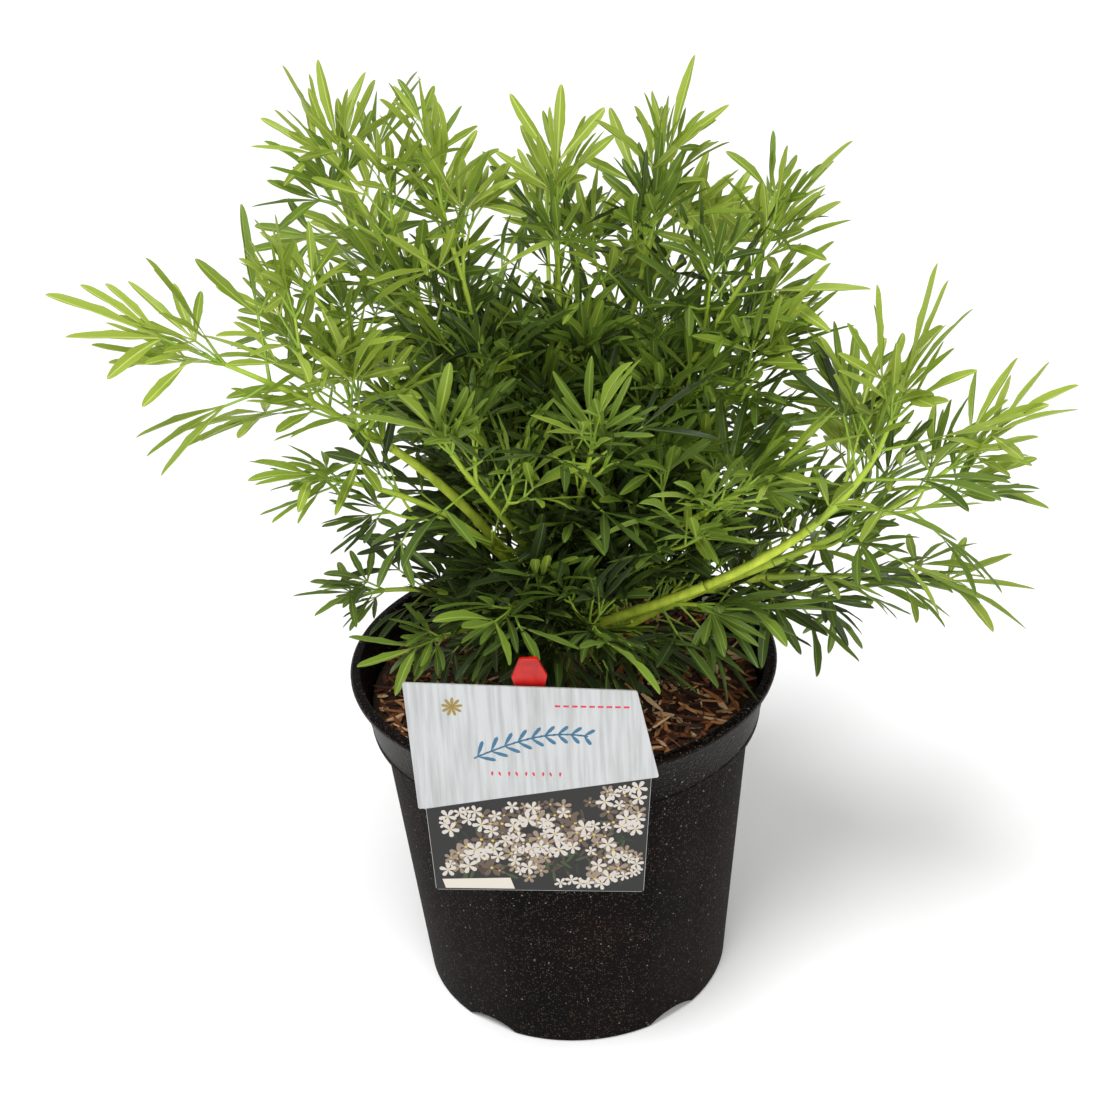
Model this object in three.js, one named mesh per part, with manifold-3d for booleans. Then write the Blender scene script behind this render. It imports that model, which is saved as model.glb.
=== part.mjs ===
// A potted Mexican orange blossom: a young evergreen shrub with narrow fingered leaves, standing in a round
// black nursery pot with a card label on a red peg. Millimetres, +Z up. The origin is the centre of the pot's
// flat underside, and the label is on the -Y side. Bearings turn from +X towards +Y, in degrees.
import * as THREE from "three";
import { mergeVertices } from "three/addons/utils/BufferGeometryUtils.js";
import Module from "manifold-3d";

const wasm = await Module();
wasm.setup();

const gap = 0.3; // clear space between neighbouring pieces
const boughGap = 0.2; // between a bough and the trunk's full round, which its flat sides widen
const seam = 0.6; // along a limb, between the flat ends of two of its pieces
const roundings = [0.001, 0.0001]; // coarse and fine steps that a mass's corners are tested at
const keepOff = 1; // of leaves from the pot and soil
const spaceMargin = 2.4; // how much nearer a leaf is to its own mass than to any other
const firstSeed = 15; // of the rule that places leaves; every shoot has the next one

const pot = {
  height: 165,
  baseRadius: 71,
  shoulderRadius: 83, // top of the plain wall, under the band
  bandHeight: 28,
  bandFootRadius: 87.5,
  bandTopRadius: 92.5,
  rimRadius: 95,
  lipHeight: 3.5,
  ledge: 2, // slope between the wall and the band
  wall: 1.8,
  floor: 3,
  chamfer: 1, // on the outer edges of the foot and the rim
  sides: 36,
  notches: 5, // drain arches cut into the foot of the wall
  notchRadius: 20,
  notchHeight: 5.5,
  drainRadius: 5,
  drainCircle: 40,
  cutSides: 16, // of the round tools that cut the notches and drains
};

const soil = { top: 151, edgeDrop: 3.5 };

const trunk = {
  height: 68,
  flareRadius: 12,
  footRadius: 8,
  tipRadius: 5,
  flareShare: 0.14, // the part of the height that the root flare takes
  leanX: 3,
  leanY: 2,
  firstBough: 0.16, // heights of the lowest and highest bough, as shares of the trunk
  lastBough: 0.94,
  sides: 10,
  rings: 8,
};

const label = {
  footX: -15, // middle of the bottom edge
  footZ: 110,
  thickness: 0.8,
  turn: -4.7, // clockwise in its own plane
  leanBack: 2,
  width: 86,
  height: 99,
  panelFoot: 40, // height of the upper panel's lower left corner
  panelRise: 17, // how much higher its lower right corner is
  panelOverhang: 3,
  skew: 11, // how far the top edge is shifted to the left
};

const peg = {
  footX: -14,
  footY: -71.3,
  lean: 18.5, // forwards, from inside the rim to the back of the label
  length: 78,
  footWidth: 5,
  width: 12,
  headWidth: 14,
  headHeight: 16,
  thickness: 2.2,
};

// Each shoot by the end of its stem: bearing and reach from the trunk, rise above the soil. leave is the
// bearing that it sets out on where that differs, climb and finish are its slopes at the trunk and at the end,
// in degrees, and bare is the share of it that is bare bough.
const shownShoots = {
  left_arm: {
    bearing: 201,
    leave: 194,
    reach: 132,
    rise: 180,
    climb: 66,
    finish: 34,
    bare: 0.58,
    twigLength: 34,
  },
  left_low: { bearing: 212, leave: 224, reach: 98, rise: 130, climb: 64, finish: 26, bare: 0.4 },
  left_rim: { bearing: 190, reach: 76, rise: 58, climb: 62, finish: 4, bare: 0.32 },
  left_high: { bearing: 191, reach: 92, rise: 194, climb: 74, finish: 58, bare: 0.38 },
  top_left: { bearing: 166, reach: 80, rise: 232, climb: 80, finish: 66, bare: 0.38 },
  top_middle: { bearing: 182, leave: 206, reach: 38, rise: 220, climb: 82, finish: 80, bare: 0.36 },
  top_leader: { bearing: 60, reach: 14, rise: 216, climb: 86, finish: 84, bare: 0.34 },
  top_right: { bearing: 16, leave: 32, reach: 50, rise: 216, climb: 78, finish: 76, bare: 0.36 },
  right_shoulder: { bearing: 344, leave: 350, reach: 82, rise: 152, climb: 68, finish: 56, bare: 0.32 },
  right_high: {
    bearing: 0,
    leave: 354,
    reach: 84,
    rise: 190,
    climb: 70,
    finish: 58,
    bare: 0.38,
    twigLength: 26,
  },
  right_arm: {
    bearing: 340,
    leave: 306,
    reach: 141,
    rise: 142,
    climb: 34,
    finish: 76,
    bare: 0.68,
    twigLength: 26,
    split: true, // bends round a wide gap, so its bough is two limbs
  },
  right_far: { bearing: 351, leave: 338, reach: 164, rise: 108, climb: 46, finish: 44, bare: 0.54 },
  right_low: { bearing: 2, leave: 10, reach: 146, rise: 40, climb: 42, finish: -8, bare: 0.62 },
  right_front: { bearing: 322, leave: 332, reach: 92, rise: 118, climb: 64, finish: 40, bare: 0.3 },
  front_high: { bearing: 285, reach: 58, rise: 140, climb: 70, finish: 58, bare: 0.28 },
  front_left: { bearing: 236, leave: 242, reach: 70, rise: 142, climb: 68, finish: 56, bare: 0.28 },
  front_low: { bearing: 250, leave: 248, reach: 58, rise: 70, climb: 62, finish: 14, bare: 0.22 },
  front_right_low: { bearing: 282, leave: 268, reach: 62, rise: 62, climb: 56, finish: 14, bare: 0.22 },
  left_skirt: { bearing: 222, reach: 66, rise: 52, climb: 58, finish: 6, bare: 0.24 },
  right_skirt: { bearing: 330, leave: 323, reach: 66, rise: 54, climb: 56, finish: 8, bare: 0.24 },
};

// The far side, which the photograph hides, is filled by alternate high and low shoots.
const backShoots = {
  count: 5,
  firstBearing: 34,
  lastBearing: 142,
  high: { reach: 84, rise: 174, climb: 68, finish: 58, bare: 0.34 },
  low: { reach: 110, rise: 102, climb: 58, finish: 26, bare: 0.34 },
};

const bough = {
  endRadius: 1.7,
  footRadius: 1.5, // of a bough of no length; a long one is thicker
  swell: 0.0045, // added for each millimetre between the trunk and the tip
  sides: 5,
  rings: 4,
  splitShare: 0.6, // where a split bough parts, as a share of its bare length
};
const twig = {
  count: 3, // on a high shoot; a low one, under the rise given, has fewer
  lowCount: 2,
  lowRise: 74,
  length: 20,
  spacing: 13,
  endRadius: 1.4, // of the stem that the twigs stand on
  radius: 1.2,
  footRadius: 0.8, // narrow enough to end inside the stem
  lean: 38,
  sideLeaf: 0.55, // place of the second leaf, as a share of the twig
};
const leaf = {
  petiole: 12,
  stalkWidth: 2.2,
  stalkFoot: 1.1,
  length: 36, // of one finger, larger than life so that fewer fill the crown
  width: 8.4, // under the fan's share, so that neighbouring fingers stay apart
  thickness: 1.8,
  fingers: 5,
  fan: 33, // between neighbouring fingers
  shorten: 0.12, // each finger against the one nearer the middle
  belly: 0.45, // where a finger is widest
  cleft: 5, // how far out the fingers part
  droop: 0.14,
  lean: 54, // of a leaf from its stem
  endLean: 14, // of a leaf from the end of its twig
  spacing: 26, // between the leaves along a stem
  innerSize: 1.55, // leaves along the stem against those of the twigs
  sizeSpread: 0.3,
  apart: 2, // least space between the fingers of different leaves
  tries: 5, // turns tried for each leaf, of which the fullest is kept
};

const colours = {
  pot: "#1d1b1a",
  soil: "#4a2a18",
  bark: "#6f6a3a",
  bough: "#8fa52e",
  leaf: "#4f8a1e",
  label: "#e6e8e6",
  peg: "#d8150c",
};

const up = new THREE.Vector3(0, 0, 1);
const group = new THREE.Group();

// One number after another from 0 to 1, the same for the same seed.
function dice(seed) {
  const span = 4294967296;
  let state = (seed * 2654435761) % span;
  return () => {
    state = (state * 1664525 + 1013904223) % span;
    return state / span;
  };
}

function outward(bearing) {
  const angle = THREE.MathUtils.degToRad(bearing);
  return new THREE.Vector3(Math.cos(angle), Math.sin(angle), 0);
}

function addPart(name, geometry, colour, roughness) {
  const material = new THREE.MeshStandardMaterial({ color: colour, roughness, metalness: 0 });
  const mesh = new THREE.Mesh(geometry, material);
  mesh.name = name;
  group.add(mesh);
  return mesh;
}

function toSolid(geometry) {
  const bare = geometry.clone();
  bare.deleteAttribute("normal");
  bare.deleteAttribute("uv");
  const merged = mergeVertices(bare, 1e-4);
  return new wasm.Manifold(
    new wasm.Mesh({
      numProp: 3,
      vertProperties: new Float32Array(merged.attributes.position.array),
      triVerts: new Uint32Array(merged.index.array),
    }),
  );
}

function toGeometry(solid) {
  const mesh = solid.getMesh();
  const geometry = new THREE.BufferGeometry();
  geometry.setAttribute("position", new THREE.BufferAttribute(mesh.vertProperties, 3));
  geometry.setIndex(new THREE.BufferAttribute(mesh.triVerts, 1));
  geometry.computeVertexNormals();
  return geometry;
}

// The solids joined as one. Scraps, and the walls of a hollow that the joining sealed, are dropped.
function fuse(geometries) {
  const joined = geometries.map(toSolid).reduce((all, one) => all.add(one));
  const bodies = joined.decompose().sort((a, b) => b.volume() - a.volume());
  return toGeometry(bodies[0]);
}

// Whether a surface is still closed once its corners are rounded, so that no two sheets of it nearly touch.
function staysClosed(geometry, step) {
  const { index } = geometry;
  const { position } = geometry.attributes;
  const edges = new Map();
  for (let i = 0; i < index.count; i += 3) {
    const face = [0, 1, 2].map((k) => {
      const corner = index.getX(i + k);
      const place = [position.getX(corner), position.getY(corner), position.getZ(corner)];
      return place.map((v) => Math.round(v / step)).join();
    });
    if (new Set(face).size < 3) continue;
    for (let k = 0; k < 3; k++) {
      const edge = [face[k], face[(k + 1) % 3]].sort().join(" ");
      edges.set(edge, (edges.get(edge) ?? 0) + 1);
    }
  }
  return [...edges.values()].every((uses) => uses === 2);
}

// A closed tapering limb: a cylinder bent along the curve, with radiusAt giving its radius from foot to tip.
function limb(curve, radiusAt, sides, rings) {
  const geometry = new THREE.CylinderGeometry(1, 1, 1, sides, rings);
  const position = geometry.attributes.position;
  const across = new THREE.Vector3();
  const point = new THREE.Vector3();
  const frames = curve.computeFrenetFrames(rings, false);
  for (let i = 0; i < position.count; i++) {
    const share = position.getY(i) + 0.5;
    const ring = Math.round(share * rings);
    const radius = radiusAt(share);
    across.copy(frames.normals[ring]).multiplyScalar(position.getX(i) * radius);
    across.addScaledVector(frames.binormals[ring], -position.getZ(i) * radius);
    point.copy(curve.getPointAt(ring / rings)).add(across);
    position.setXYZ(i, point.x, point.y, point.z);
  }
  return geometry;
}

function straightLimb(from, to, footRadius, tipRadius) {
  const curve = new THREE.LineCurve3(from, to);
  return limb(curve, (t) => THREE.MathUtils.lerp(footRadius, tipRadius, t), 3, 1);
}

// Part of a curve, from one share of its length to another, as a curve of its own.
function stretchOf(curve, from, to, count) {
  const points = [];
  for (let i = 0; i <= count; i++) {
    points.push(curve.getPointAt(THREE.MathUtils.lerp(from, to, i / count)));
  }
  return new THREE.CatmullRomCurve3(points);
}

function potWallRadius(z) {
  const bandFoot = pot.height - pot.bandHeight;
  if (z > bandFoot) {
    return THREE.MathUtils.mapLinear(z, bandFoot, pot.height, pot.bandFootRadius, pot.bandTopRadius);
  }
  return THREE.MathUtils.mapLinear(z, 0, bandFoot, pot.baseRadius, pot.shoulderRadius);
}

function makePot() {
  const bandFoot = pot.height - pot.bandHeight;
  const inside = (z) => potWallRadius(z) - pot.wall;
  const profile = [
    [0, 0],
    [pot.baseRadius - pot.chamfer, 0],
    [pot.baseRadius, pot.chamfer],
    [pot.shoulderRadius, bandFoot - pot.ledge],
    [pot.bandFootRadius, bandFoot],
    [pot.bandTopRadius, pot.height - pot.lipHeight],
    [pot.rimRadius, pot.height - pot.lipHeight],
    [pot.rimRadius, pot.height - pot.chamfer],
    [pot.rimRadius - pot.chamfer, pot.height],
    [inside(pot.height), pot.height],
    [pot.bandFootRadius - pot.wall, bandFoot + pot.wall],
    [inside(bandFoot - pot.ledge), bandFoot - pot.ledge + pot.wall],
    [inside(pot.floor), pot.floor],
    [0, pot.floor],
  ].map(([r, z]) => new THREE.Vector2(r, z));
  const shell = new THREE.LatheGeometry(profile, pot.sides);
  shell.rotateX(Math.PI / 2);
  let solid = toSolid(shell);
  for (let i = 0; i < pot.notches; i++) {
    const bearing = 270 + (360 / pot.notches) * (i + 0.5);
    const arch = new THREE.CylinderGeometry(pot.notchRadius, pot.notchRadius, pot.notchRadius, pot.cutSides);
    arch.rotateZ(Math.PI / 2);
    arch.translate(pot.baseRadius, 0, pot.notchHeight - pot.notchRadius);
    arch.rotateZ(THREE.MathUtils.degToRad(bearing));
    const drain = new THREE.CylinderGeometry(pot.drainRadius, pot.drainRadius, pot.floor * 4, pot.cutSides);
    drain.rotateX(Math.PI / 2);
    drain.translate(pot.drainCircle, 0, 0);
    drain.rotateZ(THREE.MathUtils.degToRad(bearing));
    solid = solid.subtract(toSolid(arch)).subtract(toSolid(drain));
  }
  addPart("pot", toGeometry(solid), colours.pot, 0.55);
}

const soilCrown = trunk.flareRadius * 3; // the soil is level out to here and falls from here to its edge
const soilEdge = soil.top - soil.edgeDrop;

function soilEdgeRadius() {
  const bandFoot = pot.height - pot.bandHeight;
  const rise = (soilEdge - bandFoot - pot.wall) / (pot.height - bandFoot - pot.wall);
  return THREE.MathUtils.lerp(pot.bandFootRadius, pot.bandTopRadius, rise) - pot.wall - gap * 3;
}

function soilHeight(radius) {
  return soil.top - soil.edgeDrop * Math.max(0, (radius - soilCrown) / (soilEdgeRadius() - soilCrown));
}

// The soil follows the inside of the wall.
function makeSoil() {
  const bandFoot = pot.height - pot.bandHeight;
  const clear = pot.wall + gap * 3;
  const profile = [
    [0, pot.floor + gap],
    [potWallRadius(pot.floor) - clear, pot.floor + gap],
    [potWallRadius(bandFoot - pot.ledge) - clear, bandFoot - pot.ledge + pot.wall],
    [pot.bandFootRadius - clear, bandFoot + pot.wall],
    [soilEdgeRadius(), soilEdge],
    [soilCrown, soil.top],
    [0, soil.top],
  ].map(([r, z]) => new THREE.Vector2(r, z));
  const fill = new THREE.LatheGeometry(profile, pot.sides);
  fill.rotateX(Math.PI / 2);
  addPart("soil", fill, colours.soil, 0.95);
}

const trunkFoot = soil.top + gap;
const trunkCurve = new THREE.QuadraticBezierCurve3(
  new THREE.Vector3(0, 0, trunkFoot),
  new THREE.Vector3(0, 0, trunkFoot + trunk.height / 2),
  new THREE.Vector3(trunk.leanX, trunk.leanY, trunkFoot + trunk.height),
);

function trunkRadius(share) {
  const plain = THREE.MathUtils.lerp(trunk.footRadius, trunk.tipRadius, share);
  const flare = Math.max(0, 1 - share / trunk.flareShare);
  return plain + (trunk.flareRadius - trunk.footRadius) * flare * flare;
}

function slope(bearing, rise) {
  const angle = THREE.MathUtils.degToRad(rise);
  return outward(bearing).multiplyScalar(Math.cos(angle)).addScaledVector(up, Math.sin(angle));
}

// The whole line of a shoot, from the trunk to the end of its stem.
function shootCurve(shoot) {
  const tip = outward(shoot.bearing).multiplyScalar(shoot.reach).setZ(soil.top + shoot.rise);
  const leave = shoot.leave ?? shoot.bearing;
  const heading = shoot.leader ? trunkCurve.getTangentAt(1) : slope(leave, shoot.climb);
  const side = shoot.leader ? heading : outward(leave);
  const clear = shoot.leader ? seam : trunkRadius(shoot.start) + boughGap + shoot.girth * heading.z;
  const foot = trunkCurve.getPointAt(shoot.leader ? 1 : shoot.start).addScaledVector(side, clear);
  const pull = tip.distanceTo(foot) * 0.38;
  const first = foot.clone().addScaledVector(heading, pull);
  const last = tip.clone().addScaledVector(slope(shoot.bearing, shoot.finish), -pull);
  return new THREE.CubicBezierCurve3(foot, first, last, tip);
}

// All shoots, the flattest set lowest on the trunk and the steepest at its tip.
function makeShoots() {
  const { count, firstBearing, lastBearing, high, low } = backShoots;
  const front = Object.entries(shownShoots).map(([name, shoot]) => ({ ...shoot, name }));
  const back = Array.from({ length: count }, (_, i) => {
    const kind = i % 2 === 0 ? "high" : "low";
    const bearing = THREE.MathUtils.lerp(firstBearing, lastBearing, i / (count - 1));
    return { ...(kind === "high" ? high : low), name: `back_${kind}_${Math.floor(i / 2) + 1}`, bearing };
  });
  const all = [...front, ...back];
  const steepness = (shoot) => shoot.rise / shoot.reach;
  const ranked = [...all].sort((a, b) => steepness(a) - steepness(b));
  ranked.forEach((shoot, rank) => {
    shoot.start = THREE.MathUtils.mapLinear(rank, 0, ranked.length - 1, trunk.firstBough, trunk.lastBough);
    shoot.leader = rank === ranked.length - 1;
  });
  all.forEach((shoot, index) => {
    shoot.seed = firstSeed + index;
    shoot.twigLength ??= twig.length;
    shoot.girth = bough.footRadius + bough.swell * Math.hypot(shoot.reach, shoot.rise);
    shoot.curve = shootCurve(shoot);
    shoot.span = shoot.curve.getLength();
  });
  return all;
}

const shoots = makeShoots();

// Every limb as the straight lengths that it is built of, which leaves keep clear of.
const obstacles = [];

function addLimb(name, curve, radiusAt, sides, rings, colour, roughness) {
  addPart(name, limb(curve, radiusAt, sides, rings), colour, roughness);
  for (let i = 0; i < rings; i++) {
    const line = [curve.getPointAt(i / rings), curve.getPointAt((i + 1) / rings)];
    obstacles.push({ line, radius: radiusAt(i / rings) });
  }
}

function makeTrunkAndBoughs() {
  addLimb("trunk", trunkCurve, trunkRadius, trunk.sides, trunk.rings, colours.bark, 0.85);
  for (const shoot of shoots) {
    const cuts = shoot.split ? [0, shoot.bare * bough.splitShare, shoot.bare] : [0, shoot.bare];
    const radiusAt = (share) => THREE.MathUtils.lerp(shoot.girth, bough.endRadius, share / shoot.bare);
    for (let i = 1; i < cuts.length; i++) {
      const from = cuts[i - 1] + (i > 1 ? seam / shoot.span : 0);
      const part = stretchOf(shoot.curve, from, cuts[i], bough.rings);
      const radius = (t) => radiusAt(THREE.MathUtils.lerp(from, cuts[i], t));
      const name = `bough_${shoot.name}${cuts.length > 2 ? `_${i}` : ""}`;
      addLimb(name, part, radius, bough.sides, bough.rings, colours.bough, 0.6);
    }
  }
}

// Nearest distance between two straight lengths, by sampling one and solving for the other.
function lineDistance(a, b) {
  const nearest = new THREE.Vector3();
  const other = new THREE.Line3(b[0], b[1]);
  const samples = 12;
  let least = Infinity;
  for (let i = 0; i <= samples; i++) {
    const point = a[0].clone().lerp(a[1], i / samples);
    other.closestPointToPoint(point, true, nearest);
    least = Math.min(least, point.distanceTo(nearest));
  }
  return least;
}

// Whether a point is clear of the soil, the pot's wall and the space that the label and its peg take.
function clearOfPot(point, margin) {
  const radial = Math.hypot(point.x, point.y);
  if (point.z < soil.top + keepOff + margin && radial < pot.rimRadius) return false;
  const nearWall = radial > pot.baseRadius + keepOff && radial < pot.rimRadius + keepOff + margin;
  if (point.z < pot.height + keepOff + margin && nearWall) return false;
  const nearLabel = -point.y > pot.baseRadius - keepOff && Math.abs(point.x - label.footX) < label.width * 0.65;
  return !(nearLabel && point.z < label.footZ + label.height + peg.headHeight);
}

// Points that stand for a mass: any place nearer to them than to another mass's points is its own space.
function spacePoints(shoot) {
  const at = (t) => shoot.curve.getPointAt(THREE.MathUtils.lerp(shoot.bare, 1, t));
  const marks = [0, 0.25, 0.5, 0.75, 1].map(at);
  const ahead = shoot.curve.getTangentAt(1);
  marks.push(marks[4].clone().addScaledVector(ahead, shoot.twigLength));
  return marks;
}

for (const shoot of shoots) {
  shoot.space = spacePoints(shoot);
}

function inSpace(shoot, point) {
  const nearest = (other) => Math.min(...other.space.map((p) => p.distanceTo(point)));
  const own = nearest(shoot);
  return shoots.every((other) => other === shoot || nearest(other) > own + spaceMargin);
}

// Whether a straight length of some half width stays in the mass's space, clear of the pot and of every limb.
function fits(shoot, line, halfWidth) {
  const points = [0, 0.25, 0.5, 0.75, 1].map((t) => line[0].clone().lerp(line[1], t));
  if (!points.every((p) => inSpace(shoot, p) && clearOfPot(p, halfWidth))) return false;
  return obstacles.every((o) => lineDistance(line, o.line) > o.radius + halfWidth + gap);
}

// A heading that leans away from the one given, turned round it.
function leanFrom(heading, lean, turn) {
  const level = Math.abs(heading.z) > 0.95 ? new THREE.Vector3(1, 0, 0) : up;
  const side = new THREE.Vector3().crossVectors(heading, level).normalize();
  side.applyAxisAngle(heading, THREE.MathUtils.degToRad(turn));
  return heading.clone().applyAxisAngle(side, THREE.MathUtils.degToRad(lean)).normalize();
}

// A whole leaf as one thin solid: a star-shaped rim round a raised middle, with the petiole as its stalk.
function palm(root, middle, heading, normal, fingers) {
  const place = (turn, along, side, drop) => {
    const way = heading.clone().applyAxisAngle(normal, turn);
    const across = new THREE.Vector3().crossVectors(normal, way);
    const point = middle.clone().addScaledVector(way, along).addScaledVector(across, side);
    return point.addScaledVector(normal, -drop);
  };
  const stalk = root.distanceTo(middle);
  const foot = leaf.stalkFoot / 2; // narrow enough to end inside the stem
  const half = leaf.stalkWidth / 2;
  const swell = leaf.thickness / 2;
  const rim = [place(0, -stalk, -foot, foot), place(0, -half, -half, 0)];
  fingers.forEach(({ turn, length, width }, i) => {
    if (i > 0) rim.push(place((turn + fingers[i - 1].turn) / 2, leaf.cleft, 0, 0));
    rim.push(place(turn, length * leaf.belly, -width / 2, 0));
    rim.push(place(turn, length, 0, length * leaf.droop));
    rim.push(place(turn, length * leaf.belly, width / 2, 0));
  });
  rim.push(place(0, -half, half, 0), place(0, -stalk, foot, foot));
  const last = rim.length - 1;
  const [top, bottom, ridge] = [last + 1, last + 2, last + 3];
  const faces = [top, last, ridge, top, ridge, 0, ridge, last, 0, bottom, 0, last];
  for (let i = 0; i < last; i++) {
    faces.push(top, i, i + 1, bottom, i + 1, i);
  }
  rim.push(place(0, 0, 0, -swell), place(0, 0, 0, swell), place(0, -stalk, 0, -foot));
  return new THREE.BufferGeometry().setFromPoints(rim).setIndex(faces);
}

// The fingers of a leaf that stay in the mass's space and cross no other leaf.
function openFingers(shoot, grown, middle, heading, normal, size) {
  const fingers = [];
  for (let i = 0; i < leaf.fingers; i++) {
    const offset = i - (leaf.fingers - 1) / 2;
    const turn = THREE.MathUtils.degToRad(offset * leaf.fan);
    const scale = size * (1 - Math.abs(offset) * leaf.shorten);
    const length = leaf.length * scale;
    const width = leaf.width * scale;
    const way = heading.clone().applyAxisAngle(normal, turn);
    const across = new THREE.Vector3().crossVectors(normal, way);
    const tip = middle.clone().addScaledVector(way, length).addScaledVector(normal, -length * leaf.droop);
    const belly = middle.clone().addScaledVector(way, length * leaf.belly);
    const [left, right] = [-width / 2, width / 2].map((side) => belly.clone().addScaledVector(across, side));
    const lines = [[middle, tip], [middle, left], [left, tip], [middle, right], [right, tip]];
    if (grown.fingers.some((other) => lineDistance(lines[0], other) < leaf.apart)) continue;
    if (!lines.every((line) => fits(shoot, line, leaf.thickness / 2))) continue;
    fingers.push({ turn, length, width, line: lines[0] });
  }
  return fingers;
}

// One fingered leaf that leans from its stem, at whichever turn round it leaves the most fingers open.
function growLeaf(shoot, grown, point, along, lean, scale, roll) {
  const size = scale * (1 - leaf.sizeSpread / 2 + roll() * leaf.sizeSpread);
  const firstTurn = roll() * 360;
  let best = { fingers: [] };
  for (let k = 0; k < leaf.tries; k++) {
    const heading = leanFrom(along, lean, firstTurn + (k * 360) / leaf.tries);
    const middle = point.clone().addScaledVector(heading, leaf.petiole * size);
    if (!fits(shoot, [point, middle], leaf.stalkWidth / 2)) continue;
    const side = new THREE.Vector3().crossVectors(heading, up).normalize();
    const normal = new THREE.Vector3().crossVectors(side, heading);
    const fingers = openFingers(shoot, grown, middle, heading, normal, size);
    if (fingers.length > best.fingers.length) best = { fingers, middle, heading, normal };
  }
  if (best.fingers.length < 2) return;
  grown.fingers.push(...best.fingers.map((finger) => finger.line));
  grown.pieces.push(palm(point, best.middle, best.heading, best.normal, best.fingers));
}

function growTwig(shoot, grown, point, heading, roll) {
  const end = point.clone().addScaledVector(heading, shoot.twigLength);
  if (!fits(shoot, [point, end], twig.radius)) return;
  grown.pieces.push(straightLimb(point, end, twig.footRadius, twig.radius));
  growLeaf(shoot, grown, end.clone().addScaledVector(heading, -twig.radius), heading, leaf.endLean, 1, roll);
  growLeaf(shoot, grown, point.clone().lerp(end, twig.sideLeaf), heading, leaf.lean, 1, roll);
}

// A mass from its tip down: an end leaf, then twigs a golden turn apart, then leaves.
function growMass(shoot, roll) {
  const goldenTurn = 137.5;
  const stem = stretchOf(shoot.curve, shoot.bare + seam / shoot.span, 1, 4);
  const length = stem.getLength();
  const taper = (t) => THREE.MathUtils.lerp(bough.endRadius, twig.endRadius, t);
  const grown = { pieces: [limb(stem, taper, 4, 3)], fingers: [] };
  growLeaf(shoot, grown, stem.getPointAt(1 - twig.endRadius / length), stem.getTangentAt(1), 0, 1, roll);
  let turn = roll() * 360;
  let down = twig.spacing / 2;
  for (let i = 0; down < length - leaf.spacing / 4; i++) {
    const share = 1 - down / length;
    const point = stem.getPointAt(share);
    const along = stem.getTangentAt(share);
    const isTwig = i < (shoot.rise < twig.lowRise ? twig.lowCount : twig.count);
    if (isTwig) growTwig(shoot, grown, point, leanFrom(along, twig.lean, turn), roll);
    else growLeaf(shoot, grown, point, along, leaf.lean, leaf.innerSize, roll);
    turn += goldenTurn;
    down += isTwig ? twig.spacing : leaf.spacing;
  }
  return fuse(grown.pieces);
}

// A mass whose surface nearly touches itself is grown again from another seed.
function makeMass(shoot) {
  let seed = shoot.seed;
  let mass = growMass(shoot, dice(seed));
  while (!roundings.every((step) => staysClosed(mass, step))) {
    seed += shoots.length;
    mass = growMass(shoot, dice(seed));
  }
  addPart(`foliage_${shoot.name}`, mass, colours.leaf, 0.5);
}

function plate(outline, depth) {
  const shape = new THREE.Shape(outline.map(([x, y]) => new THREE.Vector2(x, y)));
  return new THREE.ExtrudeGeometry(shape, { depth, bevelEnabled: false });
}

// A card in two steps, a wide slanted panel above a squarer one, that hangs down over the rim.
function makeLabel() {
  const half = label.width / 2;
  const slant = (height) => (-label.skew * height) / label.height;
  const rightFoot = label.panelFoot + label.panelRise;
  const wide = half + label.panelOverhang;
  const card = plate(
    [
      [-half, 0],
      [half, 0],
      [half, rightFoot],
      [wide, rightFoot],
      [wide + slant(label.height), label.height - 2],
      [-wide + slant(label.height), label.height],
      [-wide + slant(label.panelFoot), label.panelFoot],
      [-half + slant(label.panelFoot), label.panelFoot],
    ],
    label.thickness,
  );
  card.rotateZ(THREE.MathUtils.degToRad(label.turn));
  card.rotateX(THREE.MathUtils.degToRad(90 - label.leanBack));
  const leanIn = (pot.height - label.footZ) * Math.sin(THREE.MathUtils.degToRad(label.leanBack));
  card.translate(label.footX, -(pot.rimRadius + gap * 1.2 + leanIn), label.footZ); // its back lies on the rim
  addPart("label", card, colours.label, 0.4);
}

// The red peg that carries the label leans out of the soil and over the rim, up behind the card.
function makePeg() {
  const neck = peg.length - peg.headHeight;
  const blade = plate(
    [
      [-peg.footWidth / 2, 0],
      [peg.footWidth / 2, 0],
      [peg.width / 2, neck / 2],
      [peg.width / 2, neck],
      [peg.headWidth / 2, neck + peg.headHeight / 3],
      [peg.headWidth / 4, peg.length],
      [-peg.headWidth / 4, peg.length],
      [-peg.headWidth / 2, neck + peg.headHeight / 3],
      [-peg.width / 2, neck],
      [-peg.width / 2, neck / 2],
    ],
    peg.thickness,
  );
  blade.rotateX(THREE.MathUtils.degToRad(90 + peg.lean));
  const forward = peg.thickness * Math.sin(THREE.MathUtils.degToRad(peg.lean));
  blade.translate(peg.footX, peg.footY, soilHeight(Math.hypot(peg.footX, peg.footY)) + gap + forward);
  addPart("label_peg", blade, colours.peg, 0.35);
}

makePot();
makeSoil();
makeTrunkAndBoughs();
for (const shoot of shoots) {
  makeMass(shoot);
}
makeLabel();
makePeg();

export default group;
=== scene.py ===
import math

import bmesh
import bpy
import numpy as np
from mathutils import Matrix, Quaternion, Vector, noise


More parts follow.
